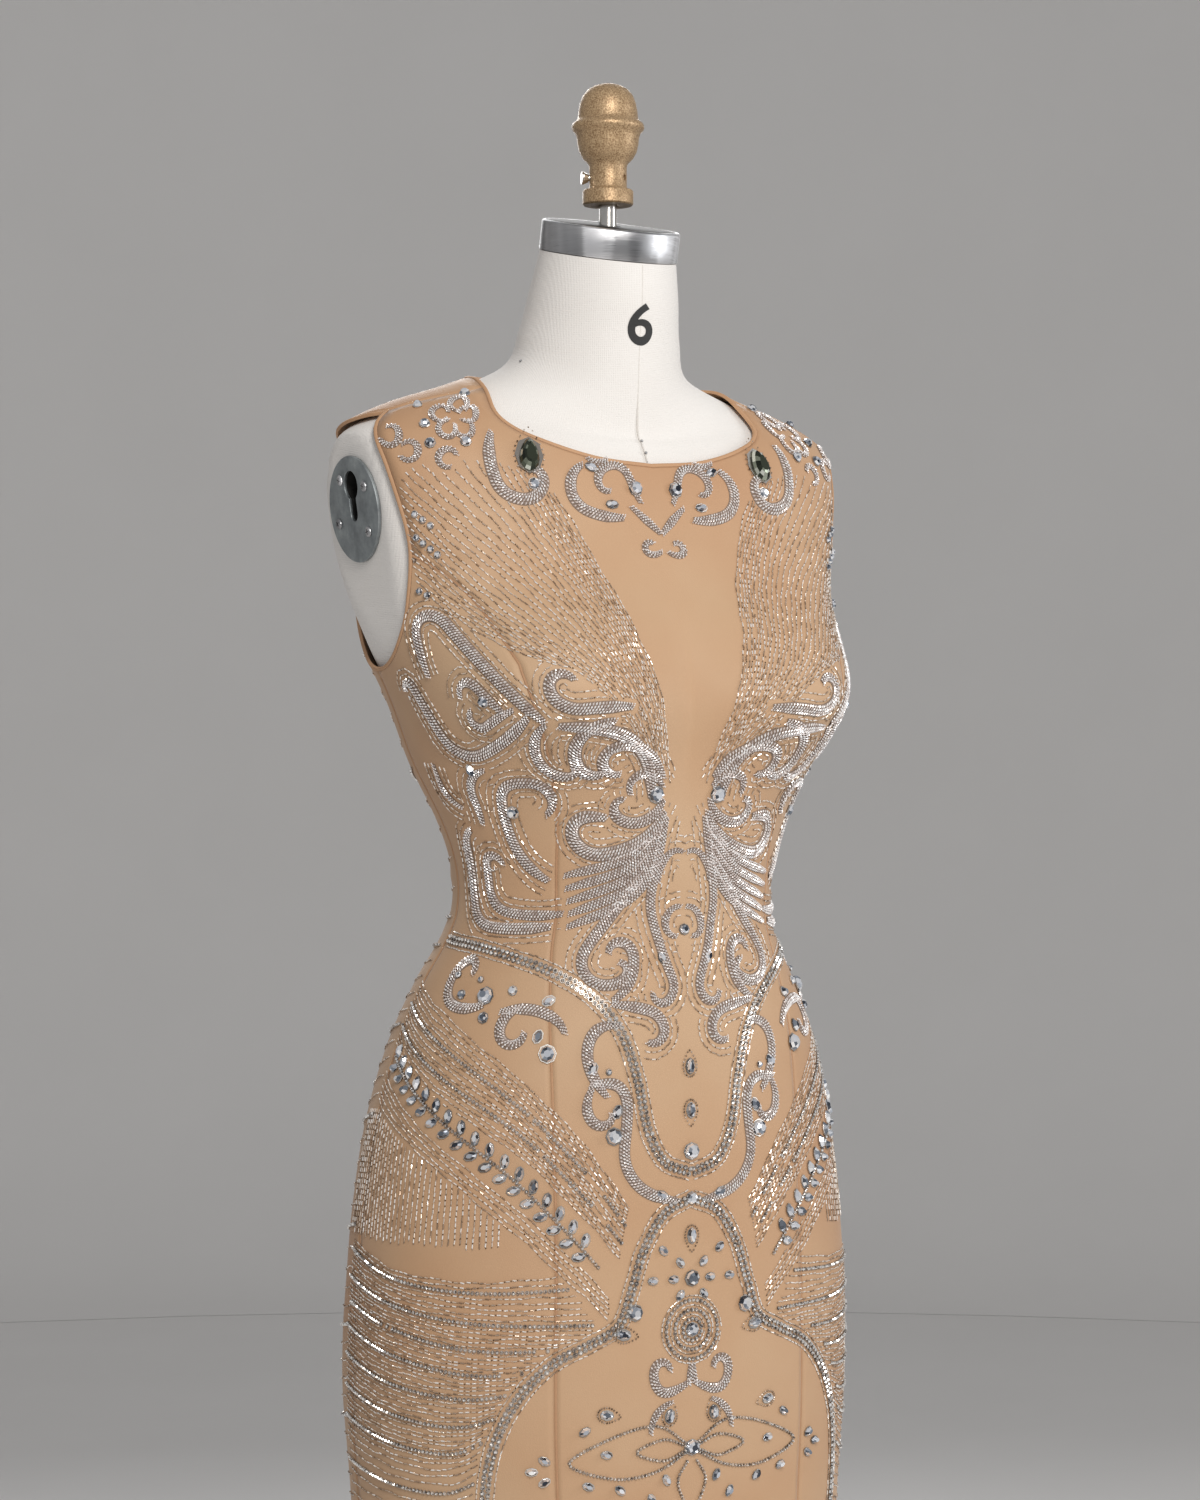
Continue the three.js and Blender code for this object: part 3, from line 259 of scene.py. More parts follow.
add_light("key_light", (-0.8, -2.75, 2.6), (0.9, 1.5), 68, (1, 0.975, 0.94))
add_light("fill_light", (2.3, -1.7, 1.7), (0.8, 1.8), 24, (0.96, 0.98, 1))
add_light("rim_light", (0.9, 2.0, 2.2), (1.2, 1.2), 28)


# The form's body
# A padded body and neck covered in white linen, cut level below the hips, with flat seats at the
# shoulders for the metal arm plates. The cover is one smooth surface, which also gives the skirt its line
# below the form, and everything on it is measured from there, in millimetres.

SECTION_COLUMNS = ("height", "width", "front", "back", "middle", "square", "front_lift", "back_lift", "lean")
SECTIONS = np.array([
    (20, 222, 205, 205, 0, 2, 0, 0, 0),
    (130, 201, 174, 180, 0, 2, 0, 0, 0),
    (260, 178, 137, 152, 2, 2.05, 0, 0, 0),
    (400, 164, 108, 134, 6, 2.15, 0, 0, 0),
    (520, 166, 104.5, 135, 11, 2.25, 0, 0, 0),
    (626, 171.5, 106, 138, 14, 2.3, 0, 0, 0),
    (681, 175.5, 107, 141, 14, 2.3, 0, 0, 0),
    (737, 176, 107, 143, 12, 2.3, 0, 0, 0),
    (778, 174, 107, 144, 10, 2.3, 0, 0, 0),
    (819, 170.5, 106.5, 145, 9, 2.25, 0, 0, 0),
    (875, 162, 106, 142, 8, 2.2, 0, 0, 0),
    (930, 148, 104, 128, 5, 2.15, 0, 0, 0),
    (971, 131, 101, 111, 3, 2.1, 0, 0, 0),
    (998, 116, 98.5, 96, 1, 2.1, 0, 0, 0),
    (1020, 109.5, 96, 84, -3, 2.1, 0, 0, 0),
    (1050, 110.5, 98, 82, -5, 2.1, 0, 0, 0),
    (1081, 120, 99, 88, -4, 2.1, 0, 0, 0),
    (1123, 138.5, 100, 101, 2, 2.15, 0, 0, 0),
    (1164, 150, 101, 115, 10, 2.2, 0, 0, 0),
    (1205, 163, 94, 131, 22, 2.35, 0, 0, 0),
    (1245, 175, 78, 136, 33, 2.5, 0, 0, 0),
    (1290, 186, 64, 130, 39, 2.6, -3, 2, 0),
    (1322, 188.5, 58, 122, 38, 2.5, -10, 6, 0),
    (1345, 181, 52, 112, 34, 2.35, -17, 9, 0),
    (1362, 150, 46, 98, 28, 2.2, -24, 10, 0),
    (1376, 106, 41, 87, 21, 2.05, -28, 8, 0.04),
    (1392, 66, 41, 75, 17, 2, -18, 4, 0.1),
    (1415, 56, 43, 68, 12.5, 2, 0, 0, 0.17),
    (1445, 51, 46.5, 56.5, 5, 2, 0, 0, 0.21),
    (1470, 47, 47, 47, 0, 2, 0, 0, 0.2217),
])
BUST = {"height": 1166, "angle": 39, "spread": 21, "fullness": 37, "above": 40, "below": 33}
HEM_HEIGHT = 26
FLUTES = 8
FLUTE_DEPTH = 11
FLUTE_TOP = 470
FORM_BOTTOM = 655
FORM_EASE = 1.3
NECK_TOP = 1470
SEAT_TOP = 1342
PLATE = {"side": 175, "back": 35, "height": 1292, "slope": 0.14, "radius": 36}


def read_curve(rows, at):
    """A smooth curve through a table's rows: its first column is where, the others what is read there."""
    rows = np.asarray(rows, float)
    at = np.asarray(at, float)
    where = rows[:, 0]
    last = len(rows) - 1
    before = np.maximum(np.arange(len(rows)) - 1, 0)
    after = np.minimum(np.arange(len(rows)) + 1, last)
    slopes = (rows[after] - rows[before]) / (where[after] - where[before])[:, None]
    low = np.clip(np.searchsorted(where, at, side="right") - 1, 0, last - 1)
    step = (where[low + 1] - where[low])[..., None]
    t = np.clip((at - where[low])[..., None] / step, 0, 1)
    rise = 3 * t**2 - 2 * t**3
    return (
        (1 - rise) * rows[low]
        + rise * rows[low + 1]
        + (t**3 - 2 * t**2 + t) * step * slopes[low]
        + (t**3 - t**2) * step * slopes[low + 1]
    )


def heading_of(degrees):
    """How far a step of one unit goes along and up."""
    return np.array([math.cos(math.radians(degrees)), math.sin(math.radians(degrees))])


def paired(angle, height):
    return np.broadcast_arrays(np.asarray(angle, float), np.asarray(height, float))


def cover(angle, height):
    """Points of the form's cover, in millimetres, at angles from the centre front and at heights."""
    angle, height = paired(angle, height)
    read = dict(zip(SECTION_COLUMNS, np.moveaxis(read_curve(SECTIONS, height), -1, 0)))
    turn = np.radians(angle)
    ahead = np.cos(turn)
    is_front = ahead > 0
    depth = np.where(is_front, read["front"] + read["middle"], read["back"] - read["middle"])
    square = read["square"]
    oval = (np.abs(np.sin(turn)) / read["width"]) ** square + (np.abs(ahead) / depth) ** square
    wrapped = (angle + 180) % 360 - 180
    fade = np.where(height > BUST["height"], BUST["above"], BUST["below"])
    across = (np.abs(wrapped) - BUST["angle"]) / BUST["spread"]
    fullness = BUST["fullness"] * np.exp(-(across**2 + ((height - BUST["height"]) / fade) ** 2) / 2)
    hang = np.clip((FLUTE_TOP - height) / (FLUTE_TOP - HEM_HEIGHT), 0, None)
    flute = FLUTE_DEPTH * hang**1.6 * np.cos(FLUTES * turn)
    radius = oval ** (-1 / square) + fullness + flute
    x = radius * np.sin(turn)
    y = read["middle"] - radius * ahead
    share = np.minimum(1, np.abs(y - read["middle"]) / depth)
    lift = np.where(is_front, read["front_lift"], read["back_lift"])
    z = height + lift * share**2 + read["lean"] * (y - read["middle"])
    return np.stack([x, y, z], -1)


def outwards(angle, height):
    """The cover's normals."""
    around = cover(angle + 0.5, height) - cover(angle - 0.5, height)
    up = cover(angle, height + 2) - cover(angle, height - 2)
    normal = np.cross(around, up)
    return normal / np.linalg.norm(normal, axis=-1, keepdims=True)


def stand_off(angle, height, away):
    """Points that stand away from the cover, along its normal."""
    angle, height = paired(angle, height)
    return cover(angle, height) + outwards(angle, height) * np.asarray(away, float)[..., None]


def finished(piece, finish, slot, smooth=True):
    """Gives a piece its material, its shading and its body."""
    piece.data.materials.clear()
    piece.data.materials.append(finish.material)
    piece.data.polygons.foreach_set("use_smooth", [smooth] * len(piece.data.polygons))
    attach(piece, BODY)
    return piece


def active_only(piece):
    bpy.ops.object.select_all(action="DESELECT")
    piece.select_set(True)
    bpy.context.view_layer.objects.active = piece


def apply_modifier(piece, kind, **settings):
    active_only(piece)
    modifier = piece.modifiers.new(kind.lower(), kind)
    for setting, value in settings.items():
        setattr(modifier, setting, value)
    bpy.ops.object.modifier_apply(modifier=modifier.name)


def soften(piece, degrees=35):
    """Smooth shading that keeps the edges sharper than an angle."""
    active_only(piece)
    bpy.ops.object.shade_smooth_by_angle(angle=math.radians(degrees))


def turned_out(piece):
    """Merges points that lie together and turns every face outwards."""
    active_only(piece)
    bpy.ops.object.mode_set(mode="EDIT")
    bpy.ops.mesh.select_all(action="SELECT")
    bpy.ops.mesh.remove_doubles(threshold=0.01 * MILLIMETRE)
    bpy.ops.mesh.normals_make_consistent(inside=False)
    bpy.ops.object.mode_set(mode="OBJECT")
    return piece


def circle(radius, count):
    turns = np.linspace(0, 2 * math.pi, count, endpoint=False)
    return np.column_stack([np.cos(turns), np.sin(turns)]) * radius


def prism(name, outline, low, high):
    """A plate with a flat outline, between two levels."""
    count = len(outline)
    points = [np.column_stack([outline, np.full(count, level)]) for level in (low, high)]
    return mesh_piece(name, points, capped_faces(2, count))


def lathe(name, profile, sides):
    """A ring turned round the upright axis from rows of radius and height; on the axis it closes itself."""
    profile = np.array(profile, float)
    rings = [np.column_stack([circle(radius, sides), np.full(sides, height)]) for radius, height in profile]
    rings.append(rings[0])
    faces = grid_faces(len(rings), sides, is_ring=True)
    return turned_out(mesh_piece(name, np.concatenate(rings), faces))


def cut_away(piece, cutters):
    for cutter in cutters:
        apply_modifier(piece, "BOOLEAN", operation="DIFFERENCE", object=cutter, solver="EXACT")
        bpy.data.objects.remove(cutter)


def moved(piece, origin, axes):
    """Moves a piece's own points to an origin, with its x, y and z along three axes."""
    place = Matrix([axes[0], axes[1], axes[2]]).transposed().to_4x4()
    place.translation = Vector(origin) * MILLIMETRE
    piece.data.transform(place)
    return piece


KEYHOLE = {"radius": 10, "rise": 16, "slot": 5.2, "foot": -3, "depth": 9}
POLE_RADIUS = 16
ROD_RADIUS = 6
BORE_EASE = 0.6                  # round the pole and the rod
POLE_BORE = 61                   # how deep they go in
ROD_BORE = 41
SHOULDER = 1340                  # the cover's rows are closer together from here
NECK_BASE = 1400                 # the form is full size from here up, and eased in below


def keyhole_outline(growth):
    radius = KEYHOLE["radius"] + growth
    slot = KEYHOLE["slot"] + growth
    meet = math.asin(slot / radius)
    turns = np.linspace(meet - math.pi / 2, 1.5 * math.pi - meet, 36)
    top = np.column_stack([np.cos(turns), np.sin(turns)]) * radius + (0, KEYHOLE["rise"])
    turns = np.linspace(math.pi, 2 * math.pi, 16)
    foot = np.column_stack([np.cos(turns), np.sin(turns)]) * slot + (0, KEYHOLE["foot"])
    return np.concatenate([top, foot])


def seat_axes(side):
    """The seat at a shoulder: its middle, and its axes towards the back or front, up and out."""
    out = Vector((side, 0, -PLATE["slope"])).normalized()
    level = Vector((0, side, 0))
    return (side * PLATE["side"], PLATE["back"], PLATE["height"]), (level, out.cross(level), out)


def onto_seat(piece, side):
    origin, axes = seat_axes(side)
    return moved(piece, origin, axes)


body_heights = np.concatenate([
    np.arange(FORM_BOTTOM, SHOULDER, 7.0),
    np.arange(SHOULDER, NECK_BASE, 3.0),
    np.arange(NECK_BASE, NECK_TOP + 1, 5.0),
])
body_angles = np.arange(0, 360, 2.5)
grid_height, grid_angle = np.meshgrid(body_heights, body_angles, indexing="ij")
inset_share = np.clip((NECK_BASE - grid_height) / 30, 0, 1)
inset = FORM_EASE * inset_share**2 * (3 - 2 * inset_share)
body_points = stand_off(grid_angle, grid_height, -inset)
seat_limit = PLATE["side"] + PLATE["slope"] * (body_points[..., 2] - PLATE["height"])
is_below_seat_top = grid_height < SEAT_TOP
clamped = np.clip(body_points[..., 0], -seat_limit, seat_limit)
body_points[..., 0] = np.where(is_below_seat_top, clamped, body_points[..., 0])
body_points[0, :, 2] = FORM_BOTTOM
rows, columns = grid_height.shape
form_body = mesh_piece("form_body", body_points, capped_faces(rows, columns))
cutters = [
    onto_seat(prism("keyhole_cutter", keyhole_outline(1.0), -KEYHOLE["depth"], 12), side) for side in (-1, 1)
]
pole_hole = circle(POLE_RADIUS + BORE_EASE, 32)
cutters.append(prism("pole_cutter", pole_hole, FORM_BOTTOM - 5, FORM_BOTTOM + POLE_BORE))
cutters.append(prism("rod_cutter", circle(ROD_RADIUS + BORE_EASE, 24), NECK_TOP - ROD_BORE, NECK_TOP + 20))
cut_away(form_body, cutters)

LINEN_THREADS = 5200             # radians of weave to the metre
linen = Finish("white linen", Roughness=0.88)
linen_place = linen.place()
linen_x, _, linen_z = linen.parts_of(linen_place)
weave = (linen_x * LINEN_THREADS).sine() + (linen_z * LINEN_THREADS).sine()
linen.mottle(14, 3, (0.76, 0.725, 0.69), (0.84, 0.815, 0.785))
linen.bump(linen.noise(linen_place, 900, 2) + weave * 0.2, 0.0004, 0.5)
finished(form_body, linen, "linen")
soften(form_body)
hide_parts("form_torso")


# The dress's cloth
# Five panels of nude tulle over a mesh lining: centre front, two side fronts and two backs, cut to the
# princess seams and sewn edge to edge. They hang a little off the form.

CLOTH_OUTSIDE = 3.5              # from the form's cover
CLOTH_THICKNESS = 1.2
SIDE_SEAM = 97
UNDERARM = 1184
ARMHOLE = np.array([
    (0, 83, 1355), (1, 75, 1326), (2, 70.5, 1292), (3, 69.5, 1258), (4, 74, 1218), (5, 84, 1192),
    (6, SIDE_SEAM, UNDERARM), (7, 109, 1195), (8, 117, 1225), (9, 119.5, 1262), (10, 118, 1298),
    (11, 111.5, 1329), (12, 99, 1347), (13, 83, 1355),
])
NECKLINE = np.array([(0, 1332), (25, 1337), (51, 1354), (77, 1376), (105, 1380), (140, 1377), (180, 1373)])
NECK_POINT = np.array([77, 1376])
PRINCESS = np.array([
    (HEM_HEIGHT, 40), (500, 40), (750, 42), (880, 44), (960, 47.5), (1044, 50.5), (1100, 47.5), (1150, 45),
    (UNDERARM, 47),
])


def armhole_at(step):
    return read_curve(ARMHOLE, step)[..., 1:]


def neckline_at(angle):
    angle = np.asarray(angle, float)
    return np.stack([angle, read_curve(NECKLINE, angle)[..., 1]], -1)


def princess_at(height):
    return read_curve(PRINCESS, height)[..., 1]


def princess_top(t):
    """The princess seam above the underarm, where it curves out to the armhole."""
    t = np.asarray(t, float)[:, None]
    start = np.array([princess_at(UNDERARM), UNDERARM], float)
    reach = armhole_at(3.0) - start
    share = np.concatenate([0.8 * t + 0.2 * t**2, 0.6 * t + 0.4 * np.sin(t * math.pi / 2)], -1)
    return start + reach * share


FOLD_SCALE = 2.7                 # millimetres per degree round the body
FOLDS = [
    (60, 1262, 205, 24, 5, 1.6), (57, 1238, 215, 22, 4.5, 1.3), (64, 1222, 200, 18, 4, 1.2),
    (80, 1150, 250, 30, 6, 1.2), (86, 1080, 265, 34, 6, 1.0), (60, 1030, 175, 30, 5, 0.9),
    (75, 1018, 185, 30, 4.5, 1.0), (120, 1040, 170, 40, 6, 1.6), (140, 1060, 190, 40, 7, 1.4),
    (130, 1010, 180, 50, 6, 1.2), (20, 600, 200, 60, 8, 1.2), (110, 700, 100, 60, 9, 1.3),
]


def cloth_lift(angle, height):
    """How far the cloth's soft wrinkles stand out from its even hang."""
    angle, height = paired(angle, height)
    side = np.abs((angle + 180) % 360 - 180)
    lift = np.zeros(side.shape)
    for fold_angle, fold_height, heading, length, width, rise in FOLDS:
        around = (side - fold_angle) * FOLD_SCALE
        up = height - fold_height
        along, rises = heading_of(heading)
        ahead = around * along + up * rises
        aside = up * along - around * rises
        lift += rise * np.exp(-((ahead / length) ** 2 + (aside / width) ** 2))
    return lift


def on_cloth(angle, height):
    """Points on the outside of the cloth."""
    return stand_off(angle, height, CLOTH_OUTSIDE + cloth_lift(angle, height))


def across(first, last, columns):
    """Places spread evenly from one place to another, or rows of them from one side to another."""
    first = np.asarray(first, float)
    step = np.asarray(last, float) - first
    return first[..., None, :] + step[..., None, :] * np.linspace(0, 1, columns + 1)[:, None]


def patch(top, first, last):
    """Places in a patch above a level row, between its two sides; the top's shape fades out downwards."""
    level = across(first, last, len(top) - 1)
    share = (np.linspace(0, 1, len(first)) ** 3)[:, None, None]
    return level + share * (top - level[-1])


tulle = Finish("nude tulle", Roughness=0.62)
tulle.shader.inputs["Sheen Weight"].default_value = 0.12
tulle.shader.inputs["Sheen Roughness"].default_value = 0.4
tulle.set("Base Color", tulle.ramp(tulle.noise(tulle.place(), 5, 4), [
    (0.3, (0.46, 0.255, 0.135)), (0.5, (0.51, 0.315, 0.18)), (0.72, (0.55, 0.37, 0.225)),
]))
tulle.bump(tulle.noise(tulle.place(), 1100, 1), 0.0003, 0.4)

PANEL_HEIGHTS = np.concatenate([
    np.arange(HEM_HEIGHT, 556, 8.0),
    np.arange(556, 960, 5.5),
    np.arange(960, UNDERARM, 4.0),
])
UPPER_ROWS = 46                  # above the underarm


def cloth_panel(name, places):
    """A panel's shell, from the grid of places that it covers."""
    shape = places.shape[:2]
    points = on_cloth(places[..., 0], places[..., 1])
    spread = np.cumsum(np.linalg.norm(np.diff(points, axis=1, prepend=points[:, :1]), axis=-1), axis=1)
    climb = np.cumsum(np.linalg.norm(np.diff(points, axis=0, prepend=points[:1]), axis=-1), axis=0)
    map_points = np.stack([spread - spread[:, -1:] / 2, climb], -1) * MILLIMETRE
    panel = mesh_piece(name, points, grid_faces(*shape), map_points)
    apply_modifier(panel, "SOLIDIFY", thickness=CLOTH_THICKNESS * MILLIMETRE, offset=-1)
    finished(panel, tulle, "tulle")
    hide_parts(name)


def mirrored(places):
    return (places * (-1, 1))[:, ::-1]


def up_a_line(angles):
    """Places at the panels' heights, from the hem to the underarm."""
    return np.column_stack([np.broadcast_to(angles, PANEL_HEIGHTS.shape), PANEL_HEIGHTS])


PRINCESS_LINE = up_a_line(princess_at(PANEL_HEIGHTS))
SIDE_LINE = up_a_line(SIDE_SEAM)


def front_centre_places():
    columns = 52
    lower = across(PRINCESS_LINE * (-1, 1), PRINCESS_LINE, columns)
    side = np.concatenate([princess_top(np.linspace(0, 1, 17)), armhole_at(np.linspace(3, 0, 30))[1:]])
    rows = np.column_stack([np.linspace(0, 1, len(side)), side])
    side = read_curve(rows, np.linspace(0, 1, UPPER_ROWS))[:, 1:]
    ridge = across(NECK_POINT, side[-1], 5)
    neck = neckline_at(np.linspace(0, NECK_POINT[0], columns // 2 - 4))
    half = np.concatenate([neck, ridge[1:]])
    top = np.concatenate([(half * (-1, 1))[:0:-1], half])
    return np.concatenate([lower, patch(top, side * (-1, 1), side)])


def side_front_places():
    columns = 26
    t = np.linspace(0, 1, 22)[:-1]
    lower = across(PRINCESS_LINE, SIDE_LINE, columns)
    return np.concatenate([lower, across(princess_top(t), armhole_at(6 - 3 * t), columns)])


ZIP_OPENING = 868
ZIP_HALF_GAP = 3.8
SEAM_HALF_GAP = 0.15


def centre_back(heights):
    """The backs' edges, which part at the zip."""
    gap = np.where(heights >= ZIP_OPENING, ZIP_HALF_GAP, SEAM_HALF_GAP)
    reach = np.hypot(*np.moveaxis(cover(180, heights)[..., :2], -1, 0))
    return np.stack([180 - np.degrees(gap / reach), heights], -1)


def back_places():
    columns = 46
    lower = across(SIDE_LINE, centre_back(PANEL_HEIGHTS), columns)
    side = armhole_at(np.linspace(6, 13, UPPER_ROWS))
    centre = centre_back(np.linspace(UNDERARM, NECKLINE[-1][1], UPPER_ROWS))
    ridge = across(armhole_at(13.0), NECK_POINT, 6)
    neck = neckline_at(np.linspace(NECK_POINT[0], centre[-1][0], columns - 5))
    top = np.concatenate([ridge, neck[1:]])
    return np.concatenate([lower, patch(top, side, centre)])


cloth_panel("front_centre_panel", front_centre_places())
for side_name, turn_over in (("left", False), ("right", True)):
    for name, places, flat, area in (
        ("side_front", side_front_places(), (0.26, 1.26), 0.22),
        ("back", back_places(), (0.42, 1.38), 0.38),
    ):
        cloth_panel(f"{name}_{side_name}", mirrored(places) if turn_over else places)


# Bindings, seams and zip
# Narrow bias bindings turn over the neck and armholes. The princess and side seams show as fine ridges,
# and a nude coil zip closes the backs, with a hem turned up at the foot.

BINDING_COLOUR = (0.46, 0.255, 0.135)
bias = Finish("bias binding", Roughness=0.7)
bias.mottle(60, 2, BINDING_COLOUR, (0.55, 0.33, 0.185))
bias.bump(bias.noise(bias.place(), 1400, 1), 0.0002, 0.5)
seam_shade = Finish("sewn seams", Roughness=0.7)
seam_shade.mottle(90, 2, (0.38, 0.2, 0.105), (0.48, 0.275, 0.15))


def bar(name, places, profile, finish, slot, is_ring=False):
    """A trim along places on the cloth. Each row of its profile is how far it lies across the path,
    to the left, and how far away from the form's cover."""
    places = np.asarray(places, float)
    lift = cloth_lift(places[:, 0], places[:, 1])
    points = stand_off(places[:, 0], places[:, 1], CLOTH_OUTSIDE)
    if is_ring:
        along = np.roll(points, -1, 0) - np.roll(points, 1, 0)
    else:
        along = np.gradient(points, axis=0)
    normal = outwards(places[:, 0], places[:, 1])
    across = np.cross(normal, along)
    across /= np.linalg.norm(across, axis=1, keepdims=True)
    profile = np.array(profile, float)
    away = (profile[:, 1] - CLOTH_OUTSIDE)[None, :, None] + lift[:, None, None]
    sections = points[:, None] + across[:, None] * profile[:, 0][None, :, None] + normal[:, None] * away
    count = len(profile)
    if is_ring:
        sections = np.concatenate([sections, sections[:1]])
        faces = grid_faces(len(sections), count, is_ring=True)
    else:
        faces = capped_faces(len(sections), count)
    piece = turned_out(mesh_piece(name, sections, faces))
    finished(piece, finish, slot)
    soften(piece, 50)
    return piece


def binding_profile(side):
    return [(side * across, away) for across, away in (
        (0.1, 1.8), (0.1, 3.7), (0.5, 4.0), (1.4, 4.1), (2.3, 4.0), (2.7, 3.6), (2.7, 1.8),
    )]


def seam_profile(half, rise):
    low = 3.2
    shoulder = CLOTH_OUTSIDE + rise * 0.7
    top = CLOTH_OUTSIDE + rise
    return [(-half, low), (-half * 0.6, shoulder), (0, top), (half * 0.6, shoulder), (half, low)]


neck_half = neckline_at(np.concatenate([np.linspace(0, 77, 40), np.linspace(79, 177.6, 56)]))
neck_line = np.concatenate([(neck_half * (-1, 1))[:0:-1], neck_half])
neck_binding = bar("neck_edge", neck_line, binding_profile(1), bias, "binding")
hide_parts("neck_binding")
armhole_loop = armhole_at(np.linspace(0, 13, 105)[:-1])
for side, name in ((1, "left"), (-1, "right")):
    edge = bar(f"armhole_edge_{name}", armhole_loop * (side, 1), binding_profile(side), bias, "binding", True)
    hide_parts(f"armhole_binding_{name}")
    princess = np.concatenate([PRINCESS_LINE, princess_top(np.linspace(0, 1, 17))])
    bar(f"princess_seam_{name}", princess * (side, 1), seam_profile(1.0, 0.35), seam_shade, "tulle")
    bar(f"side_seam_{name}", SIDE_LINE * (side, 1), seam_profile(1.1, 0.4), seam_shade, "tulle")
HEM_TURN_UP = 24
hem_line = np.column_stack([np.arange(0, 360, 2.0), np.full(180, HEM_HEIGHT + HEM_TURN_UP)])
bar("hem_stitching", hem_line, seam_profile(0.8, 0.3), seam_shade, "tulle", True)

ZIP_BOTTOM = 869
ZIP_TOP = 1369
zip_line = np.column_stack([np.full(126, 180.0), np.linspace(ZIP_BOTTOM, ZIP_TOP, 126)])
zip_tape = bar("zip_band", zip_line, [(-3.5, 2.1), (-3.5, 3.0), (3.5, 3.0), (3.5, 2.1)], bias, "binding")
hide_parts("zip_tape")


# The beadwork
# Glass bugles, seed beads and foil-backed stones sewn to the tulle. Every bead is placed on the cloth by
# its angle and height, and beads of one kind and zone are one piece.

dice = np.random.default_rng(12)


def scale_at(angle, height):
    """Millimetres per degree around the body, and per unit of height."""
    here = cover(angle, height)
    around = np.linalg.norm(cover(angle + 1, height) - here, axis=-1)
    up = np.linalg.norm(cover(angle, height + 1) - here, axis=-1)
    return around, up


def scroll(angle, height, heading, arcs):
    """A scroll that starts at a place and heads out (0), up (90), to the centre front (180) or down (270).
    Each arc is a length in millimetres and how far it turns to the left, in degrees."""
    step = 1.0
    turns = []
    for length, turn in arcs:
        steps = max(1, round(length / step))
        turns += [turn / steps] * steps
    soft = np.convolve(np.pad(turns, 4, mode="edge"), np.ones(9) / 9, mode="valid")
    places = [(angle, height)]
    for turn in soft:
        around, up = scale_at(angle, height)
        heading += turn
        along, rises = step * heading_of(heading)
        angle += along / around
        height += rises / up
        places.append((angle, height))
    return np.array(places)


def through(places, count=40):
    """A smooth path through a few places."""
    places = np.asarray(places, float)
    rows = np.column_stack([np.arange(len(places)), places])
    return read_curve(rows, np.linspace(0, len(places) - 1, count))[:, 1:]


def family(ribs, count):
    """Paths side by side. Each rib is the row of places where the paths cross it, from first to last."""
    share = np.linspace(0, 1, count)
    crossings = []
    for rib in ribs:
        rows = np.column_stack([np.linspace(0, 1, len(rib)), np.asarray(rib, float)])
        crossings.append(read_curve(rows, share)[:, 1:])
    return [through([crossing[n] for crossing in crossings]) for n in range(count)]


class Run:
    """A path measured out on the cloth, so that beads can be spaced along it."""

    def __init__(self, places):
        self.places = np.asarray(places, float)
        points = on_cloth(self.places[:, 0], self.places[:, 1])
        steps = np.linalg.norm(np.diff(points, axis=0), axis=1)
        self.reached = np.concatenate([[0], np.cumsum(steps)])
        self.length = self.reached[-1]

    def places_at(self, distances):
        return [np.interp(distances, self.reached, self.places[:, n]) for n in (0, 1)]

    def at(self, distances, aside=None):
        """Points, directions along the path and normals, at distances from its start."""
        angle, height = self.places_at(distances)
        ahead, behind = (np.clip(distances + step, 0, self.length) for step in (0.6, -0.6))
        normal = outwards(angle, height)
        along = on_cloth(*self.places_at(ahead)) - on_cloth(*self.places_at(behind))
        along -= normal * (along * normal).sum(-1, keepdims=True)
        along /= np.linalg.norm(along, axis=-1, keepdims=True) + 1e-9
        point = on_cloth(angle, height)
        if aside is not None:
            point = point + np.cross(normal, along) * np.asarray(aside)[:, None]
        return point, along, normal


class Shape:
    """One bead as corners and faces, one unit long, wide and tall, standing on the cloth."""

    def __init__(self, corners, faces):
        self.corners = np.array(corners, float)
        self.faces = faces


def turned_shape(rings, sides, outline=lambda turn: (math.cos(turn), math.sin(turn))):
    """A shape from rings of corners around its upright axis: each ring has its reach and height."""
    round_it = [outline(2 * math.pi * n / sides) for n in range(sides)]
    corners = [(0.5 * reach * x, 0.5 * reach * y, rise) for reach, rise in rings for x, y in round_it]
    return Shape(corners, capped_faces(len(rings), sides))


def pear_outline(turn):
    narrow = 1 - 0.42 * (1 + math.cos(turn)) / 2
    return math.cos(turn), math.sin(turn) * narrow


def navette_outline(turn):
    return math.cos(turn), math.copysign(abs(math.sin(turn)) ** 1.5, math.sin(turn))


BUGLE = Shape(
    [(end, y, z) for end in (-0.48, 0.48) for y, z in ((-0.5, 0.5), (0, 0), (0.5, 0.5), (0, 1))],
    [(n, 4 + n, 4 + (n + 1) % 4, (n + 1) % 4) for n in range(4)] + [(0, 1, 2, 3), (7, 6, 5, 4)],
)


def small_bead(waist):
    """Six corners: its two ends, and four round its waist."""
    return Shape(
        [(-0.5, 0, 0.5), (0, -0.5, waist), (0, 0, 0), (0, 0.5, waist), (0, 0, 1), (0.5, 0, 0.5)],
        [(0, 1 + n, 1 + (n + 1) % 4) for n in range(4)] + [(5, 1 + (n + 1) % 4, 1 + n) for n in range(4)],
    )


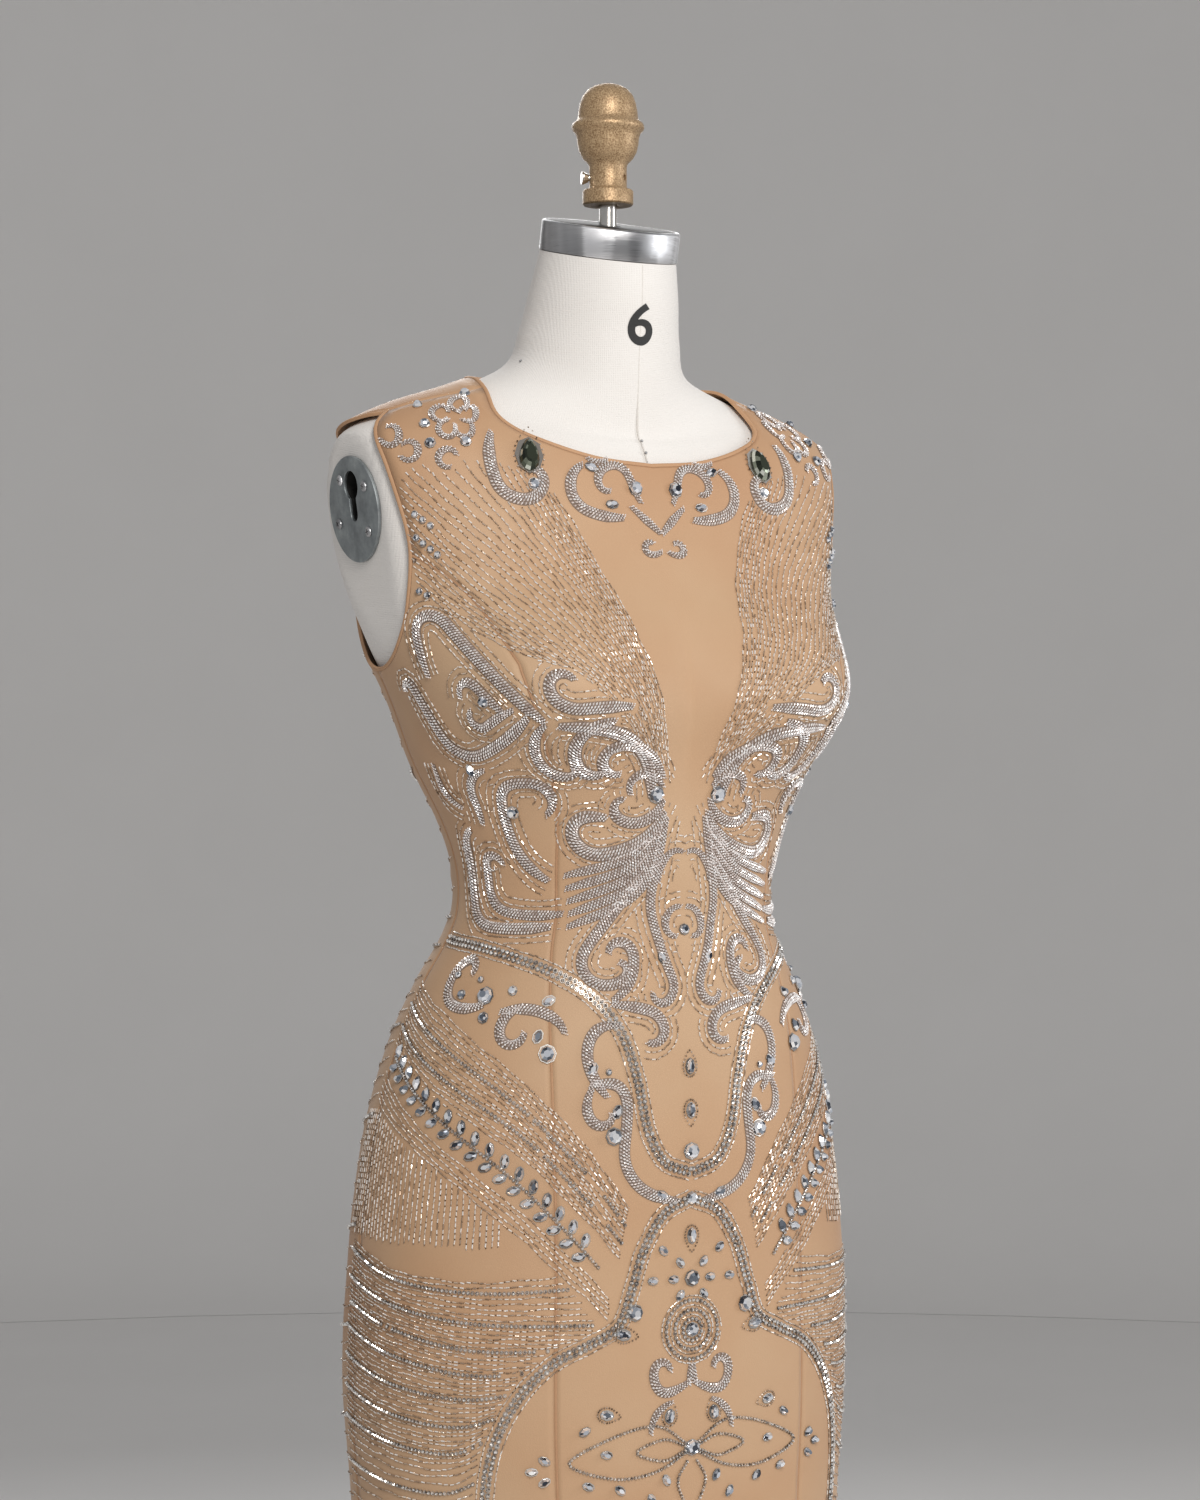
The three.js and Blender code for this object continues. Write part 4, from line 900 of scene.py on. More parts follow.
SEED = small_bead(0.5)
ROPE_BEAD = small_bead(0.4)
ROUND_STONE = turned_shape(((0.86, 0), (1, 0.3), (0.82, 0.72), (0.45, 1)), 8)
CHAIN_STONE = turned_shape(((0.95, 0.3), (0.5, 1)), 6)
NAVETTE_STONE = turned_shape(((0.9, 0), (1, 0.3), (0.55, 1)), 8, navette_outline)
PEAR_STONE = turned_shape(((0.9, 0), (1, 0.3), (0.8, 0.75), (0.45, 1)), 12, pear_outline)
DROP_STONE = turned_shape(((0.9, 0), (1, 0.25), (0.86, 0.6), (0.66, 0.9), (0.5, 1)), 14, pear_outline)
CUP = turned_shape(((1, 0), (1.08, 0.57)), 8)


class Tray:
    """Beads of one shape, waiting to be made into one piece."""

    def __init__(self, shape):
        self.shape = shape
        self.points = []
        self.frames = []
        self.sizes = []

    def add(self, points, along, normal, size, tilt=0.0):
        count = len(points)
        across = np.cross(normal, along)
        if tilt:
            lean = dice.normal(0, tilt, (count, 1))
            along = along * np.cos(lean) + normal * np.sin(lean) * 0.3 + across * np.sin(lean)
            along /= np.linalg.norm(along, axis=1, keepdims=True)
            roll = dice.normal(0, tilt * 1.6, (count, 1))
            normal = normal + across * roll
            normal -= along * (normal * along).sum(1, keepdims=True)
            normal /= np.linalg.norm(normal, axis=1, keepdims=True)
            across = np.cross(normal, along)
        self.points.append(points)
        self.frames.append(np.stack([along, across, normal], 1))
        self.sizes.append(np.broadcast_to(np.asarray(size, float), (count, 3)))

    def make(self, name, finish, slot):
        points = np.concatenate(self.points)
        frames = np.concatenate(self.frames)
        sizes = np.concatenate(self.sizes)
        count = len(points)
        corners = self.shape.corners
        local = corners[None] * sizes[:, None]
        placed = points[:, None] + np.einsum("nci,nij->ncj", local, frames)
        width = len(corners)
        counts = [len(face) for face in self.shape.faces]
        flat = np.concatenate([np.array(face) for face in self.shape.faces])
        corner_index = (flat[None] + (np.arange(count) * width)[:, None]).ravel()
        starts = np.concatenate([[0], np.cumsum(counts)[:-1]])
        face_starts = (starts[None] + (np.arange(count) * len(flat))[:, None]).ravel()
        mesh = bpy.data.meshes.new(name)
        mesh.vertices.add(count * width)
        mesh.vertices.foreach_set("co", (placed * MILLIMETRE).astype(np.float32).ravel())
        mesh.loops.add(len(corner_index))
        mesh.loops.foreach_set("vertex_index", corner_index.astype(np.int32))
        mesh.polygons.add(len(face_starts))
        mesh.polygons.foreach_set("loop_start", face_starts.astype(np.int32))
        mesh.update(calc_edges=True)
        mesh.validate()
        shade = mesh.attributes.new("shade", "FLOAT", "POINT")
        shade.data.foreach_set("value", np.repeat(dice.random(count), width).astype(np.float32))
        # Each face also gets a random value. The stones read it as painted reflection: bright and dark faces
        # stand in for what cut stones mirror.
        painted_reflection = mesh.attributes.new("painted_reflection", "FLOAT", "FACE")
        painted_reflection.data.foreach_set("value", dice.random(len(mesh.polygons)).astype(np.float32))
        return finished(new_piece(name, mesh), finish, slot, smooth=False)


class Room:
    """What has been sewn so far, so that a thin line stops where there is no room for it."""

    CELL = 8.0

    def __init__(self):
        self.cells = {}

    def take(self, points, reach):
        for point, cell in zip(points, map(tuple, np.floor(points / self.CELL).astype(int))):
            self.cells.setdefault(cell, []).append((*point, reach))

    def is_free(self, points, reach):
        free = np.ones(len(points), bool)
        for n, point in enumerate(points):
            i, j, k = np.floor(point / self.CELL).astype(int)
            near = [
                taken
                for x in (i - 1, i, i + 1) for y in (j - 1, j, j + 1) for z in (k - 1, k, k + 1)
                for taken in self.cells.get((x, y, z), ())
            ]
            if near:
                near = np.array(near)
                free[n] = (np.linalg.norm(near[:, :3] - point, axis=1) - near[:, 3]).min() > reach
        return free


bead_glass = Finish("silver-lined glass beads", Metallic=0.4, Roughness=0.2)
bead_glass.shade_by("shade", [
    (0.0, (0.3, 0.2, 0.13)), (0.25, (0.66, 0.54, 0.43)), (0.6, (0.9, 0.83, 0.75)), (0.85, (1, 0.98, 0.95)),
])
antique = Finish("antique seed beads", Metallic=0.6, Roughness=0.35)
antique.shade_by("shade", [
    (0.0, (0.09, 0.055, 0.035)), (0.6, (0.4, 0.3, 0.22)), (1.0, (0.85, 0.76, 0.68)),
])
rope_glass = Finish("rose silver beads", Metallic=0.35, Roughness=0.22)
rope_glass.shade_by("shade", [
    (0.0, (0.56, 0.48, 0.45)), (0.3, (0.9, 0.83, 0.8)), (0.7, (1, 0.97, 0.96)), (1.0, (1, 1, 1)),
])
# The crystal finishes are painted reflections. Each face of a stone takes a random brightness from near black
# to white, standing in for the lamps and dark surroundings that cut stones mirror.
chain_crystal = Finish("small crystal", Metallic=0.75, Roughness=0.1)
chain_crystal.shade_by("painted_reflection", [
    (0.0, (0.12, 0.1, 0.09)), (0.3, (0.55, 0.5, 0.46)), (0.6, (0.95, 0.93, 0.9)), (1.0, (1, 1, 1)),
])
crystal = Finish("foil-backed crystal", Metallic=0.7, Roughness=0.06)
crystal.shade_by("painted_reflection", [
    (0.0, (0.03, 0.035, 0.05)), (0.35, (0.3, 0.34, 0.4)), (0.6, (0.9, 0.93, 1)), (1.0, (1, 1, 1)),
])
setting_metal = Finish("silver settings", Metallic=1.0, Roughness=0.3)
setting_metal.shade_by("shade", [
    (0.0, (0.35, 0.32, 0.29)), (1.0, (0.78, 0.74, 0.69)),
])

# A padding cord under the ropes. It is coloured dark so that it is also painted shade in the gaps between the
# beads.
padding_shade_thread = Finish("padding thread", Roughness=0.8)
padding_shade_thread.mottle(400, 2, (0.13, 0.09, 0.07), (0.3, 0.22, 0.17))

room = Room()
padding = []
PADDING_AND_SHADE_PROFILE = np.array([(-0.95, 0.0), (-0.6, 0.2), (0, 0.3), (0.6, 0.2), (0.95, 0.0)])
TRAYS = {
    "bugle_lines": (BUGLE, bead_glass, "beading"),
    "seed_beads": (SEED, antique, "beading"),
    "rope_scrolls": (ROPE_BEAD, rope_glass, "beading"),
    "chain_stones": (CHAIN_STONE, chain_crystal, "crystal"),
    "settings": (CUP, setting_metal, "beading"),
    "round_stones": (ROUND_STONE, crystal, "crystal"),
    "navette_stones": (NAVETTE_STONE, crystal, "crystal"),
    "pear_stones": (PEAR_STONE, crystal, "crystal"),
}
trays = {kind: Tray(shape) for kind, (shape, _, _) in TRAYS.items()}


def sew_on(zone):
    """Makes the pieces of a zone from all that its trays hold, and empties the trays."""
    made = {}
    if padding:
        points = []
        faces = []
        for sections in padding:
            faces.append(grid_faces(len(sections), len(PADDING_AND_SHADE_PROFILE)) + sum(map(len, points)))
            points.append(sections.reshape(-1, 3))
        made["padding"] = mesh_piece(f"{zone}_rope_padding", np.concatenate(points), np.concatenate(faces))
        finished(made["padding"], padding_shade_thread, "beading")
        padding.clear()
    for kind, (shape, finish, slot) in TRAYS.items():
        if trays[kind].points:
            made[kind] = trays[kind].make(f"{zone}_{kind}", finish, slot)
            trays[kind] = Tray(shape)
    return made


BUGLE_SIZE = (2.7, 0.95, 0.95)
SEED_SIZE = (1.2, 1.15, 1.05)
LINE_PITCH = 4.3
LINE_SCATTER = 0.12              # how far its beads stray
LINE_ROOM = 0.9                  # what a bead needs round it
LINE_REACH = 0.7                 # what it takes up
FULL_TURN = 6.28


def sew_line(path, wave=0.75, check=True, pitch=LINE_PITCH):
    """A thin line: bugles end to end with a seed bead between each two."""
    run = Run(path)
    if run.length < 2 * pitch:
        return
    middles = np.arange(pitch / 2, run.length - pitch / 2, pitch)
    phase = dice.random() * FULL_TURN
    for kind, offset, size in (("bugle_lines", 0.0, BUGLE_SIZE), ("seed_beads", pitch / 2, SEED_SIZE)):
        distance = middles + offset
        sway = wave * np.sin(distance / 6.0 + phase) * np.sin(distance / 17.0 + phase * 2)
        points, along, normal = run.at(distance, sway + dice.normal(0, LINE_SCATTER, len(distance)))
        if check:
            keep = room.is_free(points, LINE_ROOM)
            points, along, normal = points[keep], along[keep], normal[keep]
        if len(points):
            trays[kind].add(points, along, normal, size, tilt=0.1)
            room.take(points, LINE_REACH)


ROPE_PITCH = 2.25                # from one row of beads to the next
ROPE_SLANT = math.radians(54)
ROPE_END = 0.5                   # the width at its ends, to the full width
ROPE_TAPER = 16                  # how far from its end a rope is full
ROPE_THICKNESS = 1.5             # of a bead
ROPE_ROW = ((-0.76, -0.5, 0.1), (-0.25, -0.15, 0.55), (0.25, 0.15, 0.55), (0.76, 0.5, 0.1))


def sew_rope(path, width):
    """A rope: short rows of beads laid across the path at a slant, raised in the middle, over a dark padding
    strip that is also painted shade in the gaps between them.
    """
    run = Run(path)
    distance = np.arange(0.5, run.length - 0.4, ROPE_PITCH)
    share = distance / run.length
    taper = ROPE_TAPER / max(run.length, 2 * ROPE_TAPER)
    swell = np.minimum(1, ROPE_END + (1 - ROPE_END) * np.minimum(share, 1 - share) / taper)
    points, along, normal = run.at(distance)
    across = np.cross(normal, along)
    row = along * math.cos(ROPE_SLANT) + across * math.sin(ROPE_SLANT)
    half = (width * swell / 2)[:, None]
    for aside, droop, rise in ROPE_ROW:
        slope = row - normal * droop
        slope /= np.linalg.norm(slope, axis=1, keepdims=True)
        lifted = normal + row * droop
        lifted /= np.linalg.norm(lifted, axis=1, keepdims=True)
        size = half * (0.62, 0, 0) + (0, ROPE_THICKNESS, ROPE_THICKNESS)
        middle = points + row * aside * half + normal * (0.15 + rise * half * 0.42)
        trays["rope_scrolls"].add(middle, slope, lifted, size, tilt=0.05)
    room.take(points, width * 0.42)
    # The padding strip under the beads, dark as painted shade between them.
    aside, rise = (half[..., None] * PADDING_AND_SHADE_PROFILE[::-1]).transpose(2, 0, 1)[..., None]
    padding.append(points[:, None] + across[:, None] * aside + normal[:, None] * (rise + 0.1))


def sew_chain(path, stone=3.3, spare=0.35, check=False):
    """A rhinestone chain: small stones in metal cups, side by side."""
    run = Run(path)
    count = max(1, int(run.length / (stone + spare)))
    distance = (np.arange(count) + 0.5) * run.length / count
    points, along, normal = run.at(distance)
    if check:
        keep = room.is_free(points, stone / 2)
        points, along, normal = points[keep], along[keep], normal[keep]
    if not len(points):
        return
    trays["settings"].add(points, along, normal, (stone, stone, 1.5))
    size = (stone * 0.92, stone * 0.92, 1.5)
    trays["chain_stones"].add(points + normal * 0.7, along, normal, size, tilt=0.05)
    room.take(points, stone * 0.55)


RING_BEADS = 22


def sew_stone(kind, angle, height, heading, length, width, depth, beads=False):
    """One stone in its metal setting, with its long side along a heading, and seed beads round it."""
    around, up = scale_at(angle, height)
    ahead, rise = heading_of(heading)
    path = [(angle, height), (angle + ahead / around, height + rise / up)]
    point, along, normal = Run(path).at(np.array([0.0]))
    trays["settings"].add(point, along, normal, (length * 1.05, width * 1.1, 1.5))
    trays[kind].add(point + normal * 0.5, along, normal, (length, width, depth))
    room.take(point, max(length, width) * 0.5)
    if beads:
        turns = np.linspace(0, 2 * math.pi, RING_BEADS, endpoint=False)
        across = np.cross(normal, along)
        pointed = 1 + 0.5 * np.maximum(0, np.cos(turns)) ** 6
        ring = (point + along * (np.cos(turns) * pointed)[:, None] * (length / 2 + 2)
                + across * np.sin(turns)[:, None] * (width / 2 + 2))
        facing = (np.repeat(axis, RING_BEADS, 0) for axis in (along, normal))
        trays["seed_beads"].add(ring, *facing, (1.5, 1.5, 1.3))
        room.take(ring, 0.8)


def both_sides(make, path, *args, **settings):
    """Sews along a path and along its mirror image."""
    make(path, *args, **settings)
    make(path * (-1, 1), *args, **settings)


def stones_both_sides(kind, rows, beads=False):
    for angle, height, heading, *size in rows:
        sew_stone(kind, angle, height, heading, *size, beads)
        sew_stone(kind, -angle, height, 180 - heading, *size, beads)


# Scrolls of the bodice
# Each row is a rope: where it starts, where it heads, its arcs and its width.
BODICE_SCROLLS = [
    (71.8, 1178, 80, ((30, 15), (32, 136), (90, -4)), 9),
    (63.3, 1164, 80, ((9, 50), (13, 100), (26, -5)), 7.5),
    (50.1, 1157, -20, ((28, -12), (13, 120), (8, 70)), 7.5),
    (83, 1170, 60, ((14, 190), (38, 0), (34, -92), (54, -24)), 9),
    (43.7, 1148, -35, ((20, -35), (14, -25), (22, -85), (12, -120)), 8.5),
    (51.7, 1088, 145, ((14, -50), (18, -90), (12, -15), (16, -60), (30, -30), (40, -55)), 8.5),
    (35.8, 1174, 60, ((8, -50), (12, -80), (12, -70), (16, -45), (36, 5)), 9),
    (41.1, 1147, 182, ((34, 10), (46, 66), (20, 10)), 10),
    (27.3, 1150, -5, ((24, -35), (30, -60), (22, -130)), 10),
    (10.9, 1112, 68, ((30, -40), (20, -50), (18, -70), (16, -120)), 9),
    (10.9, 1106, 65, ((10, -30), (14, -60), (16, -90)), 7.5),
    (10.3, 1098, -75, ((22, 55), (16, 50), (14, 100), (6, 60)), 8.5),
    (9.8, 1090, -78, ((22, 42), (34, 32), (20, 70), (22, 110), (14, 20)), 10),
    (18.8, 1046, -50, ((60, -12), (26, -95), (20, -60), (16, -150)), 8.5),
    (8.5, 1086, -76, ((50, -5), (20, -24), (42, -8), (16, 70), (16, 140)), 7.5),
    (65.5, 1118, -10, ((14, -30), (18, -50), (20, 5)), 7.5),
    (84, 1122, -80, ((14, 0), (24, -80)), 6),
    (69.7, 1054, 80, ((12, -80), (8, -90), (16, -5), (26, -75), (38, -20)), 8),
    (80, 1078, -20, ((16, -65), (26, -5), (16, -20), (26, -65), (44, -15)), 9),
    (1, 1026, 10, ((10, -60), (14, -60), (10, -90)), 6.5),
    (0.8, 1062, 35, ((12, -80), (22, -50)), 6),
    (28.4, 964, 153, ((24, -50), (12, -20), (14, -80), (12, -110)), 8.5),
    (28.4, 962, 185, ((26, 10), (16, 60), (12, 80), (8, 60)), 8.5),
]
GIRDLE_SCROLLS = [
    (74, 979, 110, ((8, -40), (8, -95), (12, -50), (14, -30), (14, -55), (26, -50)), 8.5),
    (61.6, 956, 160, ((16, 20), (20, 30), (14, 40)), 8.5),
    (55.4, 960, -20, ((12, -30), (16, -70), (14, -100), (8, -60)), 8),
    (25.4, 948, 10, ((10, -20), (14, -60), (18, -40), (24, -25)), 8.5),
    (34.7, 910, 172, ((14, 10), (12, 60), (12, 30), (24, 5), (18, -35), (24, -42), (18, -10)), 8.5),
    (33.7, 908, -60, ((10, -20), (14, -50), (12, -80), (8, -90)), 8),
]
NECK_SCROLLS = [
    (59, 1352, -112, ((44, -8), (26, -60), (22, -110), (14, -90)), 9.5),
    (30.2, 1331, -30, ((16, -60), (26, -70), (28, -25)), 9),
    (11.5, 1296, -140, ((30, 6),), 7),
    (1.2, 1262, -35, ((9, 30), (18, 230)), 6.5),
    (7, 1299, 62, ((20, 10), (12, -60), (14, -65), (12, -75), (9, -80)), 7),
    (29, 1338, 215, ((10, -30), (8, -60)), 6),
]
SKIRT_SCROLLS = [
    (0.8, 712, -35, ((18, 25), (10, 70), (12, 40), (12, 120), (6, 60)), 7.5),
    (7, 699, -10, ((14, -40), (14, -40)), 6),
    (0.6, 724, -90, ((16, 10),), 5),
]
for angle, height, heading, arcs, width in BODICE_SCROLLS + GIRDLE_SCROLLS + NECK_SCROLLS + SKIRT_SCROLLS:
    both_sides(sew_rope, scroll(angle, height, heading, arcs), width)

WING_RIBS = [
    [(11, 1080), (12, 1056)],
    [(26, 1058), (23, 1032)],
    [(48, 1047), (46, 1012)],
]
for path in family(WING_RIBS, 5):
    both_sides(sew_rope, path, 7)


def seen_level(place, across, rise, facing=abs(CAMERA_TURN)):
    """The place on the cloth that lies this far across and up from another, seen level from one side."""
    here = cover(*place)
    moves = np.column_stack([cover(place[0] + 1, place[1]) - here, cover(place[0], place[1] + 1) - here])
    seen = np.array([(math.cos(facing), math.sin(facing), 0), (0, 0, 1)])
    angles, heights = np.linalg.solve(seen @ moves, np.array([across, rise]))
    return place[0] + angles, place[1] + heights


def ring_path(place, radius, start=0, sweep=360, facing=abs(CAMERA_TURN)):
    """A path on the cloth that looks round from that side."""
    turns = np.radians(np.linspace(start, start + sweep, 48))
    return np.column_stack(seen_level(place, np.cos(turns) * radius, np.sin(turns) * radius, facing))


# Petals of the shoulder flowers, each a loop that opens to the flower's middle
FLOWER = (69, 1357)
PETAL_REACH = 9.5
PETAL_RADIUS = 5.6
PETAL_SWEEP = 320
LOOP_RADIUS = 6
LOOP_SWEEP = 290
for turn in (18, 90, 162, 234, 306):
    middle = seen_level(FLOWER, *(PETAL_REACH * heading_of(turn)))
    both_sides(sew_rope, ring_path(middle, PETAL_RADIUS, turn + 200, PETAL_SWEEP), 5)
for angle, height, start in ((76, 1340, 60), (71, 1331, 40), (63.5, 1328, 250)):
    both_sides(sew_rope, ring_path((angle, height), LOOP_RADIUS, start, LOOP_SWEEP), 6)

# The girdle and the skirt's border: two rows of rhinestone chain between thin lines
GIRDLE = [(0, 850), (10, 858), (16, 880), (19.5, 912), (25, 943), (35, 967), (50, 984), (72, 996), (95, 1001)]
SKIRT_BORDER = [
    (0, 833), (10, 824), (17, 802), (21, 776), (25, 752), (33, 741), (43, 728), (51, 703), (56, 668),
    (57.5, 625), (54, 576), (45, 535), (30, 508), (14, 496), (0, 493),
]


def beside(path, distance):
    """A path beside another, `distance` to its left."""
    run = Run(path)
    angle, height = run.places_at(np.linspace(0, run.length, max(8, int(run.length / 3))))
    around, up = scale_at(angle, height)
    step = np.stack([np.gradient(angle) * around, np.gradient(height) * up], -1)
    step /= np.linalg.norm(step, axis=1, keepdims=True)
    return np.stack([angle - step[:, 1] * distance / around, height + step[:, 0] * distance / up], -1)


for table in (GIRDLE, SKIRT_BORDER):
    line = through(table, 160)
    for offset in (-1.8, 1.8):
        both_sides(sew_chain, beside(line, offset), 3.3)
    for offset in (-5.6, 5.6):
        both_sides(sew_line, beside(line, offset), wave=0.2, check=False, pitch=3.6)

stones_both_sides("round_stones", [
    (13.5, 1101, 0, 10.5, 10.5, 4.5), (62, 1090, 0, 8, 8, 3.5), (57, 1162, 0, 8, 7, 3.5),
    (67, 966, 0, 11, 11, 4.5), (47, 930, 0, 11, 11, 4.5), (27, 876, 0, 10.5, 10.5, 4.5),
    (20, 760, 0, 10, 10, 4.5),
    (9, 1312, 0, 9.5, 9.5, 4), (59, 970, 0, 6, 6, 3), (66, 952, 0, 7, 7, 3), (75, 966, 0, 6, 6, 3),
    (70, 976, 0, 4, 4, 2.5), (29, 918, 0, 4, 4, 2.5), (79, 978, 0, 4.5, 4.5, 2.5),
    (68, 1286, 0, 4.5, 4.5, 3), (66.5, 1282, 0, 4.5, 4.5, 3), (65, 1278, 0, 4.5, 4.5, 3),
    (68, 1270, 0, 4.5, 4.5, 3), (66.7, 1266, 0, 4.5, 4.5, 3), (65.3, 1262, 0, 4.5, 4.5, 3),
    (64, 1258, 0, 4.5, 4.5, 3), (69, 1234, 0, 4.5, 4.5, 3), (67.2, 1231, 0, 4.5, 4.5, 3),
    (72, 1350, 0, 7, 7, 3.5), (68, 1338, 0, 7, 7, 3.5), (62, 1342, 0, 7, 7, 3.5), (77, 1371, 0, 7, 7, 3.5),
    (79, 1360, 0, 6, 6, 3.5), (44, 1312, 0, 7.5, 7.5, 3.5),
])
stones_both_sides("navette_stones", [
    (27, 1329, 20, 9, 5.5, 3), (19, 1297, 0, 9, 5.5, 3), (70, 1118, 80, 9, 5.5, 3), (10, 992, 70, 8, 5, 3),
    (48, 964, 150, 9, 6, 3), (34, 920, 120, 9, 6, 3), (26, 892, 110, 9, 6, 3), (50, 941, 110, 9, 6, 3),
    (11, 836, 25, 9, 5.5, 3),
])
for height, size in ((864, 10.5), (1010, 7), (833, 8), (780, 10), (668, 10)):
    sew_stone("round_stones", 0, height, 90, size, size, size * 0.42)
for height, heading in ((920, 90), (891, 270), (808, 270)):
    sew_stone("pear_stones", 0, height, heading, 10, 6.5, 3.5, beads=True)
stones_both_sides("pear_stones", [
    (23.5, 746, 190, 10, 7, 3.5), (28, 694, 190, 9, 6, 3), (8, 690, 100, 9, 7, 3.5),
], beads=True)

# The star over the medallion: two rounds of leaves that point to its middle
STAR = (0, 780)
around, up = scale_at(*STAR)
for reach, turns in ((14, (0, 50, 130, 180, -50, -130)), (29, (0, 180, 42, 138))):
    for turn in turns:
        x, y = reach * heading_of(turn)
        sew_stone("navette_stones", x / around, STAR[1] + y / up, turn, 7.5, 5, 3)

# The medallion: rings of chain and seed beads round a dark stone
MEDALLION = (0, 746)
for reach, is_chain in ((22.5, False), (19.6, True), (16.2, False), (13.2, True), (10, False), (7.2, True)):
    ring = ring_path(MEDALLION, reach, facing=0)
    if is_chain:
        sew_chain(ring, 2.8)
    else:
        sew_line(ring, wave=0, check=False, pitch=3.4)
sew_stone("round_stones", *MEDALLION, 90, 9, 9, 4)

# Almond loops of fine chain round the lower centre stone
ALMONDS = [
    [(2, 671), (12, 684), (25, 680), (38, 664), (26, 652), (13, 654), (2, 665)],
    [(2, 669), (10, 675), (19, 668), (10, 661), (2, 667)],
    [(1.5, 660), (5, 645), (0, 622)],
]
for table in ALMONDS:
    both_sides(sew_chain, through(table, 80), 2.1)
stones_both_sides("navette_stones", [
    (34, 684, 150, 8, 5, 3), (28, 668, 10, 8, 5, 3), (44, 666, 30, 8, 5, 3), (47, 659, 0, 8, 5, 3),
    (44, 652, -30, 8, 5, 3), (33, 648, 200, 8, 5, 3), (24, 644, 220, 8, 5, 3), (9, 648, 240, 8, 5, 3),
    (14, 636, 240, 8, 5, 3),
])

# The leaf sprays over the hips: a chain stem with pairs of leaves
SPRAY = through([(95, 923), (76, 892), (56, 855), (42, 820), (31, 790)], 80)
both_sides(sew_chain, SPRAY, 2.4)
spray_run = Run(SPRAY)
SPRAY_PAIRS = 17
LEAF_REACH = 6.5
LEAF_TURN = 125                  # degrees from the stem
for n in range(SPRAY_PAIRS):
    for side in (-1, 1):
        at = 8 + n * (spray_run.length - 10) / SPRAY_PAIRS + side * 2.5
        angle, height = spray_run.places_at(at)
        next_angle, next_height = spray_run.places_at(at + 4)
        around, up = scale_at(angle, height)
        stem = math.degrees(math.atan2((next_height - height) * up, (next_angle - angle) * around))
        leaf = stem + side * LEAF_TURN
        ahead, rise = LEAF_REACH * heading_of(leaf)
        stones_both_sides("navette_stones", [(angle + ahead / around, height + rise / up, leaf, 9, 5.5, 3)])

# The bust fans: thin lines from the armholes that gather beside the plain centre
FAN_RIBS = [
    [(38.5, 1306), (54, 1328), (70, 1318), (69.8, 1275), (69.5, 1236)],
    [(31, 1274), (42, 1280), (53, 1264), (58, 1235), (61, 1216)],
    [(20.5, 1222), (27, 1220), (35, 1212), (42, 1198), (48, 1192)],
    [(12.5, 1156), (16, 1156), (20.5, 1156), (27, 1162), (34, 1178)],
    [(8, 1108), (9.5, 1109), (12, 1112), (17, 1126), (26, 1154)],
]


def sew_rows(ribs, count, chain_rows=(), check=True):
    """A family of thin lines, some of them chains."""
    for number, path in enumerate(family(ribs, count)):
        if number in chain_rows:
            both_sides(sew_chain, path, 2.6, check=check)
        else:
            both_sides(sew_line, path)


sew_rows(FAN_RIBS, 30)
for angle, height, heading, arcs, width in BODICE_SCROLLS:
    for offset in (6.2, -6.2, 10.4, -10.4):
        both_sides(sew_line, beside(scroll(angle, height, heading, arcs), offset), wave=0.25)

front_made = sew_on("front")
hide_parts("girdle_border", "skirt_border", "medallion")

HIP_RIBS = [
    [(98, 972), (98, 932)],
    [(75, 948), (75, 900)],
    [(54, 914), (54, 868)],
    [(36, 872), (38, 830)],
    [(22, 828), (25, 796)],
]
sew_rows(HIP_RIBS, 15, (5, 10))

LOWER_HIP_RIBS = [
    [(99, 912), (99, 894)],
    [(76, 876), (76, 862)],
    [(56, 838), (56, 822)],
    [(40, 800), (40, 784)],
    [(28, 770), (28, 756)],
]
sew_rows(LOWER_HIP_RIBS, 5)

ROW_RIBS = [
    [(101, 800), (101, 774), (101, 752), (101, 726), (101, 696), (101, 664), (101, 600), (101, 540)],
    [(80, 786), (80, 762), (80, 740), (80, 714), (80, 686), (80, 656), (80, 596), (80, 530)],
    [(60, 782), (60, 754), (60, 730), (62, 708), (64, 682), (66, 654), (68, 596), (66, 524)],
    [(40, 786), (32, 752), (40, 732), (50, 712), (55, 690), (58, 664), (60, 600), (55, 528)],
]
sew_rows(ROW_RIBS, 60, range(2, 60, 6))

for angle in np.arange(56, 104, 1.4):
    top = float(np.interp(angle, (55, 70, 97, 104), (818, 852, 888, 886)))
    both_sides(sew_line, through([(angle, top), (angle, 803)], 20), wave=0.15, pitch=3.7)

sew_on("skirt_rows")

# The back
# Plain rows of the same beads: open lines from armhole to zip, and chains round the back of the skirt.
UPPER_BACK_RIBS = [
    [(121, 1292), (121, 1262), (118, 1220), (103, 1172), (101, 1100), (101, 1016)],
    [(146, 1272), (146, 1236), (144, 1196), (140, 1146), (138, 1080), (138, 1010)],
    [(174, 1290), (174, 1250), (174, 1206), (174, 1150), (173.5, 1080), (173, 1012)],
]
sew_rows(UPPER_BACK_RIBS, 21, range(0, 21, 5), check=False)
LOWER_BACK_RIBS = [
    [(100, 996), (100, 900), (100, 774), (100, 664), (100, 540)],
    [(138, 990), (138, 876), (138, 756), (138, 650), (138, 530)],
    [(174.5, 996), (176, 880), (176, 762), (176, 660), (176, 540)],
]
sew_rows(LOWER_BACK_RIBS, 36, range(0, 36, 5), check=False)
hem_chain = np.column_stack([np.arange(0, 361, 3.0), np.full(121, 62.0)])
sew_chain(hem_chain, 3.3, spare=1.2)
sew_on("back")

